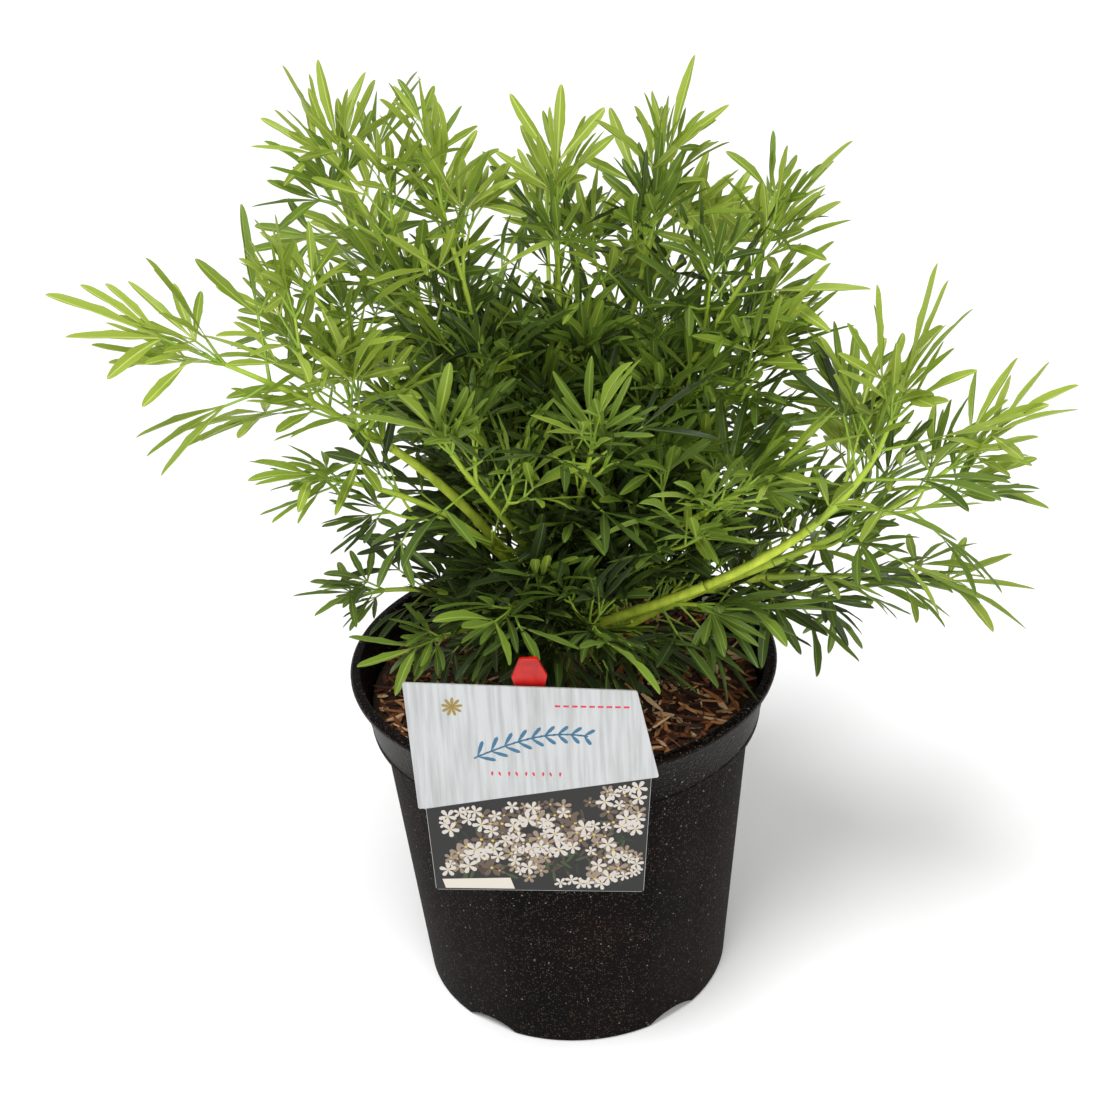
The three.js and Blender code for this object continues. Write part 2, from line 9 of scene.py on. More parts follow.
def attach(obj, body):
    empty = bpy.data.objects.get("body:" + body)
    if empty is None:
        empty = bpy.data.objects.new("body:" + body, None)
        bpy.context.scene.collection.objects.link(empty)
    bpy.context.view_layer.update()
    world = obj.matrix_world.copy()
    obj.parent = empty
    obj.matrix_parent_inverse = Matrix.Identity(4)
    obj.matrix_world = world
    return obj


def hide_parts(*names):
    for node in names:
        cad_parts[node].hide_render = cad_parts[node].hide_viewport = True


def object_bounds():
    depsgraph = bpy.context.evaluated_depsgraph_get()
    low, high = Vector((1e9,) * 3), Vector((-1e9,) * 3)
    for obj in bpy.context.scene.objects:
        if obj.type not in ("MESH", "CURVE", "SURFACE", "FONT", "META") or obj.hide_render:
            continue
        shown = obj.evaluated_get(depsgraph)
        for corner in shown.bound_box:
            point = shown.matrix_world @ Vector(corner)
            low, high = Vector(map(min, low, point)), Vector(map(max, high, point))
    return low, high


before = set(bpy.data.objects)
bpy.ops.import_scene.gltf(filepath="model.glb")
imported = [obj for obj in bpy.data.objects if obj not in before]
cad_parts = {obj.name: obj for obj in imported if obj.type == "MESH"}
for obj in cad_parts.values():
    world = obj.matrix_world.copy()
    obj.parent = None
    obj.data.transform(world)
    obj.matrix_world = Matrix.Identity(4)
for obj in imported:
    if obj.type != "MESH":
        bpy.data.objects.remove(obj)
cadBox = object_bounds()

# A potted Mexican orange blossom: an evergreen shrub with narrow fingered leaves, in a black nursery pot
# with a card label on a red peg. Metres, +Z up, the label on the -Y side. Bearings turn from +X towards +Y.
up = Vector((0, 0, 1))
gap = 0.0003  # clear space between neighbouring pieces, as in the frame
boughGap = 0.0002  # between the trunk and the foot of a bough
seam = 0.0006  # between a bough and its mass, and where a bough is split
goldenTurn = 137.5


# One number after another from 0 to 1, the same for the same seed.
def dice(seed):
    span = 2**32
    state = [seed * 2654435761 % span]

    def roll():
        state[0] = (state[0] * 1664525 + 1013904223) % span
        return state[0] / span

    return roll


def blend(a, b, share):
    return a + (b - a) * share


def linear(hexColour):
    # the shader's own colour space, from a colour as a paint program gives it
    parts = [int(hexColour[i : i + 2], 16) / 255 for i in (1, 3, 5)]
    return [p / 12.92 if p <= 0.04045 else ((p + 0.055) / 1.055) ** 2.4 for p in parts] + [1]


# Effects that several materials share. Each is a node group with its own named inputs.
def newGroup(name, inputs, outputs):
    # an input is given by its kind, or by a number that it has unless a material says otherwise
    group = bpy.data.node_groups.new(name, "ShaderNodeTree")
    for label, given in inputs.items():
        isNumber = not isinstance(given, str)
        kind = "NodeSocketFloat" if isNumber else f"NodeSocket{given}"
        socket = group.interface.new_socket(label, in_out="INPUT", socket_type=kind)
        if isNumber:
            socket.default_value = given
    for label, kind in outputs.items():
        group.interface.new_socket(label, in_out="OUTPUT", socket_type=f"NodeSocket{kind}")
    return group, group.nodes.new("NodeGroupInput"), group.nodes.new("NodeGroupOutput")


def wire(tree, *links):
    # each link is a node, its output, the next node and its input
    for source, output, target, label in links:
        tree.links.new(source.outputs[output], target.inputs[label])


def newPaint(tree):
    # mixes colour A with colour B
    paint = tree.nodes.new("ShaderNodeMix")
    paint.data_type = "RGBA"
    return paint


def newMath(tree, operation):
    node = tree.nodes.new("ShaderNodeMath")
    node.operation = operation
    return node


def makeMottle():
    # cloudy patches between two colours
    group, given, result = newGroup(
        "mottle",
        {"Vector": "Vector", "Scale": 50, "From": 0.4, "To": 0.6, "Dark": "Color", "Light": "Color"},
        {"Colour": "Color", "Share": "Float"},
    )
    cloud = group.nodes.new("ShaderNodeTexNoise")
    cloud.inputs["Detail"].default_value = 5
    spread = group.nodes.new("ShaderNodeMapRange")
    paint = newPaint(group)
    wire(
        group,
        (given, "Vector", cloud, "Vector"),
        (given, "Scale", cloud, "Scale"),
        (cloud, "Fac", spread, "Value"),
        (given, "From", spread, "From Min"),
        (given, "To", spread, "From Max"),
        (spread, "Result", paint, "Factor"),
        (given, "Dark", paint, "A"),
        (given, "Light", paint, "B"),
        (paint, "Result", result, "Colour"),
        (spread, "Result", result, "Share"),
    )
    return group


def makeRelief():
    # fine unevenness of the surface, as a normal
    group, given, result = newGroup(
        "relief", {"Vector": "Vector", "Scale": 500, "Depth": 0.0002}, {"Normal": "Vector"}
    )
    cloud = group.nodes.new("ShaderNodeTexNoise")
    cloud.inputs["Detail"].default_value = 4
    bump = group.nodes.new("ShaderNodeBump")
    wire(
        group,
        (given, "Vector", cloud, "Vector"),
        (given, "Scale", cloud, "Scale"),
        (cloud, "Fac", bump, "Height"),
        (given, "Depth", bump, "Distance"),
        (bump, "Normal", result, "Normal"),
    )
    return group


def makeDust():
    # small pale specks, one in some of the cells that fill the surface
    group, given, result = newGroup(
        "dust",
        {"Vector": "Vector", "Scale": 600, "Size": 0.25, "Ground": "Color", "Speck": "Color"},
        {"Colour": "Color"},
    )
    cells = group.nodes.new("ShaderNodeTexVoronoi")
    chance = group.nodes.new("ShaderNodeSeparateColor")
    reach = newMath(group, "MULTIPLY")
    near = newMath(group, "LESS_THAN")
    paint = newPaint(group)
    wire(
        group,
        (given, "Vector", cells, "Vector"),
        (given, "Scale", cells, "Scale"),
        (cells, "Color", chance, "Color"),
        (chance, "Red", reach, 0),
        (given, "Size", reach, 1),
        (cells, "Distance", near, 0),
        (reach, "Value", near, 1),
        (near, "Value", paint, "Factor"),
        (given, "Ground", paint, "A"),
        (given, "Speck", paint, "B"),
        (paint, "Result", result, "Colour"),
    )
    return group


mottle = makeMottle()
relief = makeRelief()
dust = makeDust()


class Finish:
    # a material under construction: its shader, and short ways to add nodes and links
    def __init__(self, name, colour, roughness):
        self.material = bpy.data.materials.new(name)
        self.material.use_nodes = True
        self.tree = self.material.node_tree
        self.nodes = self.tree.nodes
        self.shader = self.nodes["Principled BSDF"]
        self.shader.inputs["Base Color"].default_value = linear(colour)
        self.shader.inputs["Roughness"].default_value = roughness
        self.place = None

    def matte(self, level):
        self.shader.inputs["Specular IOR Level"].default_value = level

    def add(self, kind, **values):
        node = self.nodes.new(kind)
        for label, value in values.items():
            node.inputs[label].default_value = value
        return node

    # where the pattern is read: the object's own coordinates, stretched or turned
    def pattern(self, scale=(1, 1, 1), rotation=(0, 0, 0)):
        if self.place is None:
            self.place = self.nodes.new("ShaderNodeTexCoord")
        mapping = self.add("ShaderNodeMapping", Scale=scale, Rotation=rotation)
        wire(self.tree, (self.place, "Object", mapping, "Vector"))
        return mapping

    def use(self, group, place, **values):
        node = self.nodes.new("ShaderNodeGroup")
        node.node_tree = group
        for label, value in values.items():
            node.inputs[label].default_value = value
        wire(self.tree, (place, "Vector", node, "Vector"))
        return node

    def clouds(self, place, scale, spread, dark, light):
        colours = {"Dark": linear(dark), "Light": linear(light)}
        return self.use(mottle, place, Scale=scale, From=spread[0], To=spread[1], **colours)

    def feed(self, node, output, label):
        wire(self.tree, (node, output, self.shader, label))

    # roughness that varies with a share from 0 to 1
    def shine(self, node, output, low, high):
        spread = self.add("ShaderNodeMapRange", **{"To Min": low, "To Max": high})
        wire(self.tree, (node, output, spread, "Value"))
        self.feed(spread, "Result", "Roughness")

    def uneven(self, place, scale, depth):
        self.feed(self.use(relief, place, Scale=scale, Depth=depth), "Normal", "Normal")


def finishPiece(name, mesh, materials, replaced=()):
    for material in materials:
        mesh.materials.append(material)
    piece = bpy.data.objects.new(name, mesh)
    bpy.context.scene.collection.objects.link(piece)
    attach(piece, "root")
    if replaced:
        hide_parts(*replaced)
    return piece


def meshFrom(bm, name, smooth=True):
    for face in bm.faces:
        face.smooth = smooth
    mesh = bpy.data.meshes.new(name)
    bm.to_mesh(mesh)
    bm.free()
    return mesh


def sharpenRings(bm, width):
    # rounds the level edges that turn by more than a slight angle
    slight = math.radians(30)
    sharp = [
        e
        for e in bm.edges
        if len(e.link_faces) == 2
        and e.calc_face_angle() > slight
        and abs(e.verts[0].co.z - e.verts[1].co.z) < 1e-6
    ]
    bmesh.ops.bevel(
        bm,
        geom=sharp,
        offset=width,
        affect="EDGES",
        segments=2,
        profile=0.5,
        material=-1,
        clamp_overlap=True,
    )


def spun(profile, steps):
    # a closed turned shape from its outline, both ends of which are on the axis
    bm = bmesh.new()
    verts = [bm.verts.new((r, 0, z)) for r, z in profile]
    edges = [bm.edges.new(pair) for pair in zip(verts, verts[1:])]
    bmesh.ops.spin(
        bm, geom=verts + edges, cent=(0, 0, 0), axis=(0, 0, 1), angle=math.tau, steps=steps, use_merge=True
    )
    bmesh.ops.remove_doubles(bm, verts=bm.verts, dist=1e-6)
    bmesh.ops.recalc_face_normals(bm, faces=bm.faces)
    return bm


def cutAway(piece, cutters):
    for cutter in cutters:
        cut = piece.modifiers.new("cut", "BOOLEAN")
        cut.object = cutter
        cut.solver = "EXACT"
    bpy.context.view_layer.update()
    scene = bpy.context.evaluated_depsgraph_get()
    mesh = bpy.data.meshes.new_from_object(piece.evaluated_get(scene))
    piece.modifiers.clear()
    piece.data = mesh
    for cutter in cutters:
        bpy.data.objects.remove(cutter)


# The pot: a plain tapered wall under a wider band with a thin lip, and drain arches in its foot.
pot = {
    "height": 0.165,
    "baseRadius": 0.071,
    "shoulderRadius": 0.083,
    "bandHeight": 0.028,
    "bandFootRadius": 0.0875,
    "bandTopRadius": 0.0925,
    "rimRadius": 0.095,
    "lipHeight": 0.0035,
    "ledge": 0.002,
    "wall": 0.0018,
    "floor": 0.003,
    "steps": 120,
    "notches": 5,
    "notchRadius": 0.02,
    "notchHeight": 0.0055,
    "drainRadius": 0.005,
    "drainCircle": 0.04,
    "footRise": 0.0012,  # of the rounded corner under the wall
    "edge": 0.0005,
    "dimpleRadius": 0.012,  # in the middle of the underside
    "dimpleDepth": 0.0006,
    "dimpleSlope": 0.0005,
    "grooveRadius": 0.056,  # of a ring groove in the underside
    "grooveWidth": 0.003,
    "grooveDepth": 0.0007,
    "grooveSlope": 0.0006,
    "beadHeight": 0.0022,  # of the band's thicker foot
    "beadStep": 0.0004,
    "bandDraft": 0.0003,
    "lipRound": 0.001,
    "lipTaper": 0.0004,
}
bandFoot = pot["height"] - pot["bandHeight"]


def potWallRadius(z):
    if z > bandFoot:
        return blend(pot["bandFootRadius"], pot["bandTopRadius"], (z - bandFoot) / pot["bandHeight"])
    return blend(pot["baseRadius"], pot["shoulderRadius"], z / bandFoot)


def potPlastic():
    finish = Finish("potPlastic", "#171311", 0.5)
    place = finish.pattern()
    ground = finish.clouds(place, 24, (0.35, 0.7), "#030202", "#100704")
    fine = finish.use(dust, place, Scale=1100, Size=0.4, Speck=linear("#463c35"))
    coarse = finish.use(dust, place, Scale=300, Size=0.13, Speck=linear("#857568"))
    # the band is smoother than the wall under it
    level = finish.nodes.new("ShaderNodeSeparateXYZ")
    band = finish.add("ShaderNodeMapRange", **{"From Min": bandFoot, "From Max": bandFoot + 0.004})
    wire(
        finish.tree,
        (ground, "Colour", fine, "Ground"),
        (fine, "Colour", coarse, "Ground"),
        (finish.place, "Object", level, "Vector"),
        (level, "Z", band, "Value"),
    )
    finish.feed(coarse, "Colour", "Base Color")
    finish.shine(band, "Result", 0.7, 0.36)
    finish.matte(0.055)
    finish.uneven(finish.pattern((1, 1, 0.6)), 900, 0.0004)
    return finish.material


def potProfile():
    # from the middle of the underside out, up the wall, over the lip and down the inside to the floor
    height, wall, floor = pot["height"], pot["wall"], pot["floor"]
    rim, lipFoot = pot["rimRadius"], height - pot["lipHeight"]
    base, corner = pot["baseRadius"], pot["footRise"]
    dimple, groove = pot["dimpleRadius"], pot["grooveRadius"]
    grooveEnd = groove + pot["grooveWidth"]
    bandRadii = (pot["bandFootRadius"], pot["bandTopRadius"])
    beadTop = bandFoot + pot["beadHeight"]
    shoulder = bandFoot - pot["ledge"]
    return [
        (0, pot["dimpleDepth"]),
        (dimple, pot["dimpleDepth"]),
        (dimple + pot["dimpleSlope"], 0),
        (groove, 0),
        (groove + pot["grooveSlope"], pot["grooveDepth"]),
        (grooveEnd - pot["grooveSlope"], pot["grooveDepth"]),
        (grooveEnd, 0),
        (base - corner, 0),
        (base - corner * 0.3, corner * 0.3),
        (base + corner * 0.1, corner),
        (pot["shoulderRadius"], shoulder),
        (pot["bandFootRadius"], bandFoot),
        (blend(*bandRadii, 0.08), beadTop),
        (blend(*bandRadii, 0.09) - pot["beadStep"], beadTop + pot["beadStep"]),
        (pot["bandTopRadius"] - pot["bandDraft"], lipFoot),
        (rim - pot["lipTaper"], lipFoot),
        (rim, height - pot["lipHeight"] * 0.6),
        (rim, height - pot["lipRound"]),
        (rim - pot["lipRound"], height),
        (potWallRadius(height) - wall, height),
        (pot["bandFootRadius"] - wall, bandFoot + wall),
        (potWallRadius(shoulder) - wall, shoulder + wall),
        (potWallRadius(floor) - wall, floor),
        (0, floor),
    ]


def addRod(bm, segments, radius, depth, matrix):
    bmesh.ops.create_cone(
        bm, cap_ends=True, segments=segments, radius1=radius, radius2=radius, depth=depth, matrix=matrix
    )


def makePot():
    bm = spun(potProfile(), pot["steps"])
    sharpenRings(bm, pot["edge"])
    piece = finishPiece("pot_shell", meshFrom(bm, "pot"), [potPlastic()], ["pot"])
    cutters = []
    for i in range(pot["notches"]):
        # an arch in the foot of the wall, and a drain hole in the floor beside it
        turned = Matrix.Rotation(math.radians(270 + 360 / pot["notches"] * (i + 0.5)), 4, "Z")
        arch = Matrix.Translation((pot["baseRadius"], 0, pot["notchHeight"] - pot["notchRadius"]))
        across = Matrix.Rotation(math.pi / 2, 4, "Y")
        bm = bmesh.new()
        addRod(bm, 64, pot["notchRadius"], pot["notchRadius"], turned @ arch @ across)
        hole = Matrix.Translation((pot["drainCircle"], 0, 0))
        addRod(bm, 32, pot["drainRadius"], pot["floor"] * 4, turned @ hole)
        cutter = bpy.data.objects.new("cutter", meshFrom(bm, "cutter"))
        bpy.context.scene.collection.objects.link(cutter)
        cutters.append(cutter)
    cutAway(piece, cutters)


# The soil: a fill of dark bark compost, strewn with chips and fibres.
soil = {
    "top": 0.151,
    "edgeDrop": 0.0035,
    "crown": 0.036,  # level out to this radius
    "steps": 96,
    "rings": 34,
    "swell": 0.0012,
    "grain": 0.0008,
    "evenEdge": 0.006,
    "seed": 71,
    "chips": 1700,
    "chipLength": (0.004, 0.015),
    "chipWidth": (0.0008, 0.0024),
    "chipDepth": 0.45,  # share of its width
    "chipMargin": 0.003,
    "chipTilt": 0.7,
    "chipRoll": 1.6,
    "chipLift": 0.0002,
    "chipPile": 0.002,
    "chipDarkness": 1.3,  # above 1, more of them are dark
    "fibres": 320,
    "fibreLength": (0.008, 0.022),
    "fibreRadius": (0.00012, 0.0003),
    "fibreMargin": 0.012,
    "fibreCurl": 1.6,
    "fibreArch": 0.12,  # share of its length
    "fibreLift": 0.0008,
}
chipTints = ["#371f13", "#5a3119", "#7e4823", "#a26335", "#c99058", "#e4bd90"]
soilEdge = soil["top"] - soil["edgeDrop"]
soilRise = (soilEdge - bandFoot - pot["wall"]) / (pot["bandHeight"] - pot["wall"])
soilRadius = blend(pot["bandFootRadius"], pot["bandTopRadius"], soilRise) - pot["wall"] - gap * 3


def soilHeight(radius):
    return soil["top"] - soil["edgeDrop"] * max(0, (radius - soil["crown"]) / (soilRadius - soil["crown"]))


def compost():
    finish = Finish("compost", "#22140c", 0.85)
    place = finish.pattern()
    grain = finish.clouds(place, 420, (0.35, 0.65), "#22140c", "#4b2e1b")
    finish.feed(grain, "Colour", "Base Color")
    finish.shine(grain, "Share", 0.75, 0.95)
    finish.uneven(place, 900, 0.0008)
    return finish.material


def plainTint(name, colour, roughness, scale=1500, depth=0.0001):
    # one plain colour with a slightly uneven surface
    finish = Finish(name, colour, roughness)
    finish.uneven(finish.pattern(), scale, depth)
    return finish.material


def makeSoil():
    clear = pot["wall"] + gap * 3
    shoulder = bandFoot - pot["ledge"]
    profile = [
        (0, pot["floor"] + gap),
        (potWallRadius(pot["floor"]) - clear, pot["floor"] + gap),
        (potWallRadius(shoulder) - clear, shoulder + pot["wall"]),
        (pot["bandFootRadius"] - clear, bandFoot + pot["wall"]),
    ]
    for i in range(soil["rings"], -1, -1):
        radius = soilRadius * i / soil["rings"]
        profile.append((radius, soilHeight(radius)))
    bm = spun(profile, soil["steps"])
    for v in bm.verts:
        radius = math.hypot(v.co.x, v.co.y)
        if v.co.z > soilEdge - 1e-5 and radius < soilRadius * 0.99:
            calm = min(1, (soilRadius - radius) / soil["evenEdge"])
            lift = noise.noise(v.co * 60) * soil["swell"] + noise.noise(v.co * 260) * soil["grain"]
            v.co.z += (lift + soil["swell"] * 0.3) * calm
    finishPiece("soil_fill", meshFrom(bm, "soil"), [compost()], ["soil"])


def chipShape(bend):
    # a splinter along +Y, one long, tapered towards both ends
    bm = bmesh.new()
    bmesh.ops.create_cube(bm, size=1)
    lengthwise = [e for e in bm.edges if abs(e.verts[0].co.y - e.verts[1].co.y) > 0.5]
    bmesh.ops.subdivide_edges(bm, edges=lengthwise, cuts=2)
    for v in bm.verts:
        end = abs(v.co.y) * 2
        v.co.x *= blend(1, 0.45, end**2) * (1.15 if v.co.y > 0 else 0.9)
        v.co.z = v.co.z * blend(1, 0.6, end) + bend * (0.25 - v.co.y**2)
        v.co.x += 0.25 * bend * v.co.y
    return shapeArrays(bm)


def shapeArrays(bm):
    # a small shape as arrays, to be stamped many times
    bm.verts.index_update()
    verts = np.array([v.co[:] for v in bm.verts])
    faces = np.array([[v.index for v in f.verts] for f in bm.faces])
    slots = np.array([f.material_index for f in bm.faces])
    bm.free()
    return verts, faces, slots


def joinedCopies(shape, frames, tints):
    # every copy of one shape as arrays: frames holds a 3 by 4 matrix for each copy
    verts, faces, slots = shape
    frames = np.array(frames)
    placed = np.einsum("nij,kj->nki", frames[:, :, :3], verts) + frames[:, None, :, 3]
    offsets = np.arange(len(frames))[:, None, None] * len(verts)
    corners = faces[None] + offsets
    return placed.reshape(-1, 3), corners.reshape(-1, faces.shape[1]), (slots[None] + tints[:, None]).ravel()


def meshOfParts(name, parts, smooth=True):
    # one mesh from the joined copies of several shapes
    start = 0
    verts, faces, slots = [], [], []
    for partVerts, partFaces, partSlots in parts:
        verts.append(partVerts)
        faces += (partFaces + start).tolist()
        slots.append(partSlots)
        start += len(partVerts)
    mesh = bpy.data.meshes.new(name)
    mesh.from_pydata(np.concatenate(verts).tolist(), [], faces)
    mesh.polygons.foreach_set("material_index", np.concatenate(slots).astype(np.int32))
    mesh.polygons.foreach_set("use_smooth", np.full(len(faces), smooth))
    mesh.update()
    return mesh


def frameOf(root, across, along, normal, width, length, depth):
    return np.column_stack((across * width, along * length, normal * depth, root))


def makeChips():
    roll = dice(soil["seed"])
    shapes = [chipShape(bend) for bend in (-0.6, 0.4, 1.4)]
    frames = [[] for _ in shapes]
    tints = [[] for _ in shapes]
    for _ in range(soil["chips"]):
        bearing = roll() * math.tau
        radius = math.sqrt(roll()) * (soilRadius - soil["chipMargin"])
        length = blend(*soil["chipLength"], roll() ** 2)
        width = blend(*soil["chipWidth"], roll())
        along = Vector((1, 0, (roll() - 0.5) * soil["chipTilt"])).normalized()
        along.rotate(Quaternion(up, roll() * math.tau))
        across = up.cross(along).normalized()
        across.rotate(Quaternion(along, (roll() - 0.5) * soil["chipRoll"]))
        radius -= max(0, radius + length / 2 - soilRadius)
        height = soilHeight(radius) + soil["chipLift"] + roll() * soil["chipPile"] + abs(along.z) * length / 2
        root = Vector((math.cos(bearing) * radius, math.sin(bearing) * radius, height))
        kind = int(roll() * len(shapes))
        normal = along.cross(-across)
        frames[kind].append(frameOf(root, across, along, normal, width, length, width * soil["chipDepth"]))
        tint = int(roll() ** soil["chipDarkness"] * len(chipTints))
        tints[kind].append(min(len(chipTints) - 1, tint))
    parts = [joinedCopies(s, f, np.array(t)) for s, f, t in zip(shapes, frames, tints)]
    finishes = [plainTint(f"chip{i + 1}", tint, 0.75, 1200, 0.0004) for i, tint in enumerate(chipTints)]
    finishPiece("soil_chips", meshOfParts("soil_chips", parts, smooth=False), finishes)


def tubeMesh(name, strands, resolution, tints=None):
    # round strands, each a list of (point, radius), as one mesh
    curve = bpy.data.curves.new(name, "CURVE")
    curve.dimensions = "3D"
    curve.bevel_depth = 1
    curve.bevel_resolution = resolution
    curve.use_fill_caps = True
    for number, strand in enumerate(strands):
        spline = curve.splines.new("POLY")
        spline.points.add(len(strand) - 1)
        spline.points.foreach_set("co", [c for point, _ in strand for c in (*point, 1)])
        spline.points.foreach_set("radius", [radius for _, radius in strand])
        spline.use_smooth = True
        if tints:
            spline.material_index = tints[number]
    holder = bpy.data.objects.new(name, curve)
    for _ in range(max(tints or [0]) + 1):
        curve.materials.append(None)
    bpy.context.scene.collection.objects.link(holder)
    bpy.context.view_layer.update()
    mesh = bpy.data.meshes.new_from_object(holder.evaluated_get(bpy.context.evaluated_depsgraph_get()))
    bpy.data.objects.remove(holder)
    mesh.name = name
    mesh.materials.clear()
    return mesh


def makeFibres():
    # fine threads of bark that wander over the chips
    roll = dice(soil["seed"] + 1)
    strands = []
    tints = []
    for _ in range(soil["fibres"]):
        bearing = roll() * math.tau
        radius = math.sqrt(roll()) * (soilRadius - soil["fibreMargin"])
        heading = roll() * math.tau
        length = blend(*soil["fibreLength"], roll())
        thickness = blend(*soil["fibreRadius"], roll())
        turn = (roll() - 0.5) * soil["fibreCurl"]
        strand = []
        x, y = math.cos(bearing) * radius, math.sin(bearing) * radius
        for k in range(5):
            reach = min(1, (soilRadius - 0.001) / max(math.hypot(x, y), 1e-6))
            x, y = x * reach, y * reach
            arch = math.sin(math.pi * k / 4) * length * soil["fibreArch"]
            level = soilHeight(math.hypot(x, y)) + soil["fibreLift"] + arch + roll() * 0.001
            strand.append(((x, y, level), thickness * (1 - 0.12 * k)))
            x += math.cos(heading) * length / 4
            y += math.sin(heading) * length / 4
            heading += turn / 3
        strands.append(strand)
        tints.append(int(roll() * 3))
    finishes = [
        plainTint("fibreDark", "#4a2a16", 0.8),
        plainTint("fibreRed", "#8a5530", 0.75),
        plainTint("fibreTan", "#b98f62", 0.7),
    ]
    finishPiece("soil_fibres", tubeMesh("soil_fibres", strands, 0, tints), finishes)


# The label: a card in two steps, a slanted upper panel over a squarer one, hung over the rim on a red peg.
label = {
    "footX": -0.015,
    "footZ": 0.11,
    "thickness": 0.0008,
    "backing": 0.00045,  # the lower card's share of the thickness
    "turn": -4.7,
    "leanBack": 2,
    "width": 0.086,
    "height": 0.099,
    "panelFoot": 0.04,
    "panelRise": 0.017,
    "panelOverhang": 0.003,
    "panelGap": 0.00003,  # between it and the lower card
    "skew": 0.011,
    "corner": 0.0009,
    "ink": 0.00002,  # thickness of one layer of print
}
sprig = {
    "x": -0.006,
    "y": 0.0655,
    "halfWidth": 0.021,
    "bow": 0.011,
    "steps": 16,
    "turn": (-58, -100),
    "stroke": (0.0008, 0.0033),
    "leafWidth": 0.0024,
    "leafLength": (0.0078, 0.0052),
    "leafLean": 44,
    "marks": 9,  # petals of the rosette, and dashes in each row
    "rosette": (-0.0375, 0.0885),
    "rosettePetal": (0.0018, 0.0044),
    "dashGap": 0.0034,
    "upperRow": (0.004, 0.0895),
    "upperDash": (0.0009, 0.0022),
    "lowerRow": (-0.021, 0.0565),
    "lowerDash": (0.0012, 0.0022),
}
blossom = {
    "seed": 40,
    "edge": 0.00015,
    "leaves": 160,
    "leafSize": (0.0017, 0.0065),
    "leafMargin": 0.0075,
    "leafTop": 0.036,
    "flowers": 150,
    "flowerSize": (0.0023, 0.0046),
    "margin": 0.0005,
    "tries": 3000,
    "closeness": 0.42,  # of two flowers, as a share of their sizes
    "petals": 5,
    "petalWidth": 0.74,  # this and the three below are shares of the flower's size
    "heartWidth": 0.3,
    "heartLength": 0.28,
    "heartDrop": 0.14,
    "bareAbove": 0.13,  # in the noise that parts the clouds of blossom, where the leaves show
    "deepShare": 0.22,  # the share that lies lowest and is darkest
    "shadeShare": 0.5,
    "tab": [(-0.039, 0.0009), (-0.0105, 0.0009), (-0.0125, 0.0064), (-0.0405, 0.0054)],
}
inkTints = {
    "ground": "#060704",
    "leafDark": "#151b0e",
    "leafMid": "#303e1c",
    "twigBrown": "#3a2a1e",
    "petal": "#bab3ac",
    "petalShade": "#857466",
    "petalDeep": "#54453a",
    "heart": "#b9a63c",
    "teal": "#2c5f7c",
    "red": "#c02038",
    "tab": "#c4bdb2",
    "ochre": "#8a7434",
}
inkNames = list(inkTints)


def labelPlace():
    leanIn = (pot["height"] - label["footZ"]) * math.sin(math.radians(label["leanBack"]))
    return (
        Matrix.Translation((label["footX"], -(pot["rimRadius"] + gap * 1.2 + leanIn), label["footZ"]))
        @ Matrix.Rotation(math.radians(90 - label["leanBack"]), 4, "X")
        @ Matrix.Rotation(math.radians(label["turn"]), 4, "Z")
    )


def slant(height):
    return -label["skew"] * height / label["height"]


def panelOutlines():
    half = label["width"] / 2
    wide = half + label["panelOverhang"]
    rightFoot = label["panelFoot"] + label["panelRise"]
    leftHalf = -half + slant(label["panelFoot"])
    leftWide = -wide + slant(label["panelFoot"])
    top = [
        (leftWide, label["panelFoot"]),
        (wide, rightFoot),
        (wide + slant(label["height"]), label["height"] - 0.002),
        (-wide + slant(label["height"]), label["height"]),
    ]
    backing = [
        (-half, 0),
        (half, 0),
        (half, rightFoot),
        (wide, rightFoot),
        *top[2:],
        (leftWide, label["panelFoot"]),
        (leftHalf, label["panelFoot"]),
    ]
    return backing, top


def labelCard():
    # pale card with a faint upright wood grain
    finish = Finish("labelCard", "#aeb0b0", 0.42)
    place = finish.pattern((1, 1, 0.05), (0, math.radians(-label["turn"]), 0))
    grain = finish.clouds(place, 520, (0.3, 0.62), "#9c9e9d", "#b4b6b7")
    finish.feed(grain, "Colour", "Base Color")
    finish.uneven(place, 700, 0.00004)
    return finish.material


def addPlate(bm, outline, low, high):
    face = bm.faces.new([bm.verts.new((x, y, low)) for x, y in outline])
    grown = bmesh.ops.extrude_face_region(bm, geom=[face])["geom"]
    raised = [g for g in grown if isinstance(g, bmesh.types.BMVert)]
    bmesh.ops.translate(bm, verts=raised, vec=(0, 0, high - low))


def printShape(bm, verts, tint, x, y, z, turn, width, length):
    # moves a flat shape to its place in the print, and gives it its ink
    place = Matrix.Translation((x, y, z)) @ Matrix.Rotation(turn, 4, "Z")
    bmesh.ops.transform(bm, verts=verts, matrix=place @ Matrix.Diagonal((width, length, 1, 1)))
    for face in {f for v in verts for f in v.link_faces}:
        face.material_index = inkNames.index(tint)


def printPetal(bm, tint, point, x, y, z, turn, width, length, sides=8):
    # a rounded shape that stands on its place, narrowed towards its root by the point given
    made = bmesh.ops.create_circle(bm, cap_ends=True, segments=sides, radius=0.5)["verts"]
    for v in made:
        v.co.x *= 1 - point * (0.5 - v.co.y)
        v.co.y += 0.5
    printShape(bm, made, tint, x, y, z, turn, width, length)


def printBar(bm, tint, x, y, z, turn, width, length):
    # a straight stroke
    made = bmesh.ops.create_grid(bm, x_segments=1, y_segments=1, size=0.5)["verts"]
    printShape(bm, made, tint, x, y, z, turn, width, length)


def printSheet(bm, tint, outline, z):
    sheet = bm.faces.new([bm.verts.new((x, y, z)) for x, y in outline])
    sheet.material_index = inkNames.index(tint)


